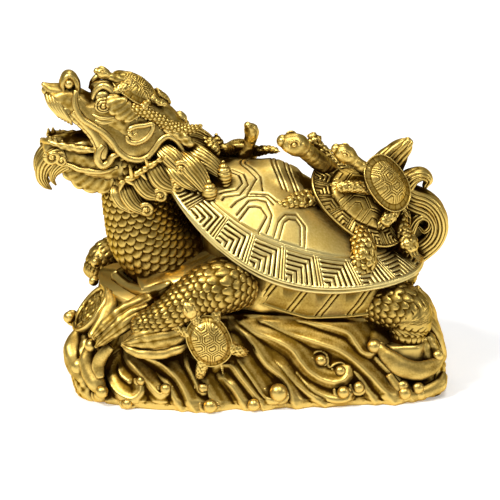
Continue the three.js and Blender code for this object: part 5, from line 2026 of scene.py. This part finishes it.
LITTLE_TURTLES = (
    LittleTurtle(
        name="head_turtle",
        at=(-41.6, -1.5, 107.3),
        facing=(-0.83, 0.18, 0.53),
        up=(0.46, -0.32, 0.83),
        size=9.6,
        neck=(0.5, 0, 0.04),
        thickness=0.2,
        neck_path=((-44, -3, 110.8, 2.1), (-47.6, -3.4, 112.3, 1.8), (-50.5, -3.6, 113.6, 1.6)),
        head_path=(
            (-50.5, -3.6, 113.6, 1.6, 1.6), (-52.5, -3.7, 114.9, 2.3, 2.2), (-53.9, -3.8, 115.5, 2, 1.9),
            (-54.8, -3.8, 115.8, 1.2, 1.2),
        ),
        legs=(
            (
                (-42.7, -4.4, 110.8, 1.8, 1.4), (-45.7, -5.8, 110.1, 2, 1.5), (-47.9, -6.4, 109.1, 1.6, 1.2),
                (-49, -6.6, 108.4, 0.9, 0.8),
            ),
            ((-35.5, -4.6, 105.7, 1.7, 1.3), (-33.1, -5.2, 104, 1.6, 1.2), (-31.1, -5.2, 103.2, 1.3, 1)),
            ((-33, 5, 104, 1.7, 1.3), (-30, 7.5, 101, 1.5, 1.2), (-28.5, 8.6, 98.8, 1.2, 1.0)),
            ((-44, 5.5, 107, 1.8, 1.4), (-46.5, 8, 104.5, 1.6, 1.2), (-48, 9, 102.4, 1.2, 0.9)),
        ),
    ),
    LittleTurtle(
        name="far_turtle",
        at=(-3, 14, 76),
        facing=(0.25, -0.75, 0.6),
        up=(0, 0.6, 0.8),
        size=10.0,
        neck=(0.4, 0, 0.66),
        thickness=0.24,
        columns=110,
        neck_path=((-1.7, 9, 77.7, 3), (-0.3, 8.6, 80.9, 2.6), (0.7, 8, 84.1, 2.2)),
        head_path=(
            (0.7, 8, 83.7, 2.2, 2.2), (1.2, 7.4, 86.6, 2.6, 2.5), (0.8, 6.8, 88.7, 2.4, 2.2),
            (-0.2, 6.2, 90.1, 1.5, 1.4),
        ),
    ),
    LittleTurtle(
        name="rump_turtle",
        at=(38.0, -7.5, 64.6),
        facing=(-0.7545, 0.207, 0.62),
        up=(0.427, -0.56, 0.707),
        size=20.4,
        neck=(0.62, 0, 0.3),
        thickness=0.17,
        columns=320,
        frets=15,
        band=0.63,
        flat=True,
        neck_path=((28.6, -1, 74.3, 3.4), (24.6, -5, 79.3, 3.4), (21.2, -8, 83.1, 3.2), (18.1, -10, 86.3, 3)),
        head_path=(
            (18.4, -10.3, 86.3, 3.2, 3.1), (15.5, -11, 88.4, 4.2, 3.9), (12.4, -11.5, 89.6, 3.6, 3.2),
            (10.5, -11.6, 90.3, 2.3, 2.1),
        ),
        legs=(
            (
                (26.6, -7, 68.2, 2.6, 1.8), (21.5, -12, 68.8, 3, 1.8), (16.6, -15.5, 69.3, 2.8, 1.6),
                (12.4, -17.6, 69.1, 1.9, 1.2), (9.1, -18.6, 68.6, 0.9, 0.6),
            ),
            (
                (36.9, -16, 56.7, 3.4), (37.8, -21, 54.3, 4), (38.2, -24, 51.6, 4.3),
                (37.9, -26, 48.5, 4.8, 3.8), (36.6, -28, 46.2, 3.9, 2.4),
            ),
            (
                (53.1, -8, 60.1, 2), (52.8, -11, 57.4, 2.2), (53.7, -13, 54.3, 2.8, 2.6),
                (55.3, -15.5, 51.7, 3.4, 2.3), (56.3, -16.5, 50, 2.4, 1.5),
            ),
            (
                (30.3, 2, 75.4, 2.4, 1.8), (27.1, 3, 80.1, 1.7, 1.5), (24.7, 4, 82.9, 1.6, 1.5),
                (23.3, 4.4, 84.5, 2.3, 2.2), (22.8, 4.6, 85.7, 1.5, 1.5),
            ),
        ),
    ),
    LittleTurtle(
        name="rider_turtle",
        at=(47.2, -13, 73.5),
        facing=(-0.5773, 0.103, 0.81),
        up=(0.533, -0.703, 0.469),
        size=11.0,
        neck=(0.5, 0, 0.02),
        thickness=0.2,
        columns=170,
        band=0.74,
        flat=True,
        neck_path=((42.7, -12, 76.7, 2.6), (38.9, -13.6, 80.1, 2.4), (35.6, -14.8, 83.3, 2.2)),
        head_path=(
            (36, -14.8, 83.1, 2.2, 2.2), (33.4, -15, 85.3, 3.3, 3), (30.9, -15.2, 87, 3, 2.7),
            (29.3, -15.2, 88, 1.9, 1.8),
        ),
        legs=(
            (
                (41.8, -14, 72.5, 2.3, 1.8), (36.9, -17, 74.3, 2.1, 1.7), (32.5, -18, 74.8, 2, 1.6),
                (30.1, -18.2, 74.6, 1.6, 1.3),
            ),
            ((50.5, -13, 64.7, 2.4, 2), (48.4, -16.6, 62.6, 2.4, 2), (46.4, -18, 60.9, 2, 1.6)),
            ((51.6, -8, 67, 2.2, 1.7), (53.7, -9, 63.9, 2, 1.5)),
            ((47.3, -8, 77, 2, 1.6), (45.1, -8.6, 79.6, 1.6, 1.3)),
        ),
    ),
    LittleTurtle(
        name="wave_turtle",
        at=(-18.2, -40.6, 26.5),
        facing=(-0.45, 0.07, 0.89),
        up=(-0.12, -0.93, 0.34),
        size=9.8,
        neck=(0.5, 0.1, 0.06),
        thickness=0.22,
    ),
)


@dataclass
class Coin:
    """The disc that leans on the waves under the chin, with a raised rim and a stippled face."""

    centre: Sequence[float] = (-57.1, -10, 27.9)
    normal: Sequence[float] = (-0.78, -0.06, 0.62)
    radius: float = 9.8
    thickness: float = 3.2
    columns: int = 150
    rim_inside: float = 0.8  # share of the radius where the raised rim starts
    rim_top: float = 0.84
    rim_height: float = 0.9  # mm
    stipple: float = 0.3  # mm
    ring: float = 0.55  # share of the radius where a ring is cut
    ring_depth: float = 0.35  # mm

    def build(self) -> None:
        """Makes the disc."""
        turn = TURN * np.arange(self.columns) / self.columns
        up = unit(np.array(self.normal, float))
        side = unit(np.cross(up, [0, 1, 0]))
        front = np.cross(side, up)
        face = [(k / 34, 0.5) for k in range(1, 34)]
        rings = []
        for share, height in [*face, (1.0, 0.42), (1.0, 0.2), (1.0, -0.2), (0.96, -0.5), (0.5, -0.5)]:
            x, y = share * self.radius * np.cos(turn), share * self.radius * np.sin(turn)
            z = np.full(self.columns, height * self.thickness)
            if height == 0.5:
                spot = np.stack([x, y, np.zeros(self.columns)], -1)
                z -= self.rim_height * smooth(np.array(share), self.rim_top, self.rim_inside)
                z += self.stipple * waver(spot, 1.3, 21) * (share < self.rim_inside)
                z -= self.ring_depth * line(np.array(share) - self.ring, 0.03)
            rings.append(np.array(self.centre) + x[:, None] * side + y[:, None] * front + z[:, None] * up)
        Piece("coin", [Lump.wrapped(np.stack(rings))], CAST)


def main() -> None:
    """Builds the figure piece by piece, then the studio."""
    bpy.ops.object.select_all(action="DESELECT")
    Mound().build()
    Body().build()
    Carapace().build()
    Head().build()
    Mane().build()
    Tail().build()
    for turtle in LITTLE_TURTLES:
        turtle.build()
    Coin().build()
    dress_all()
    Studio().build()
    triangles = sum(len(p.thing.data.loops) - 2 * len(p.thing.data.polygons) for p in Piece.made)
    log.info("triangles in all: %d", triangles)


if __name__ == "__main__":
    logging.basicConfig(level=logging.INFO, format="%(message)s")
    main()
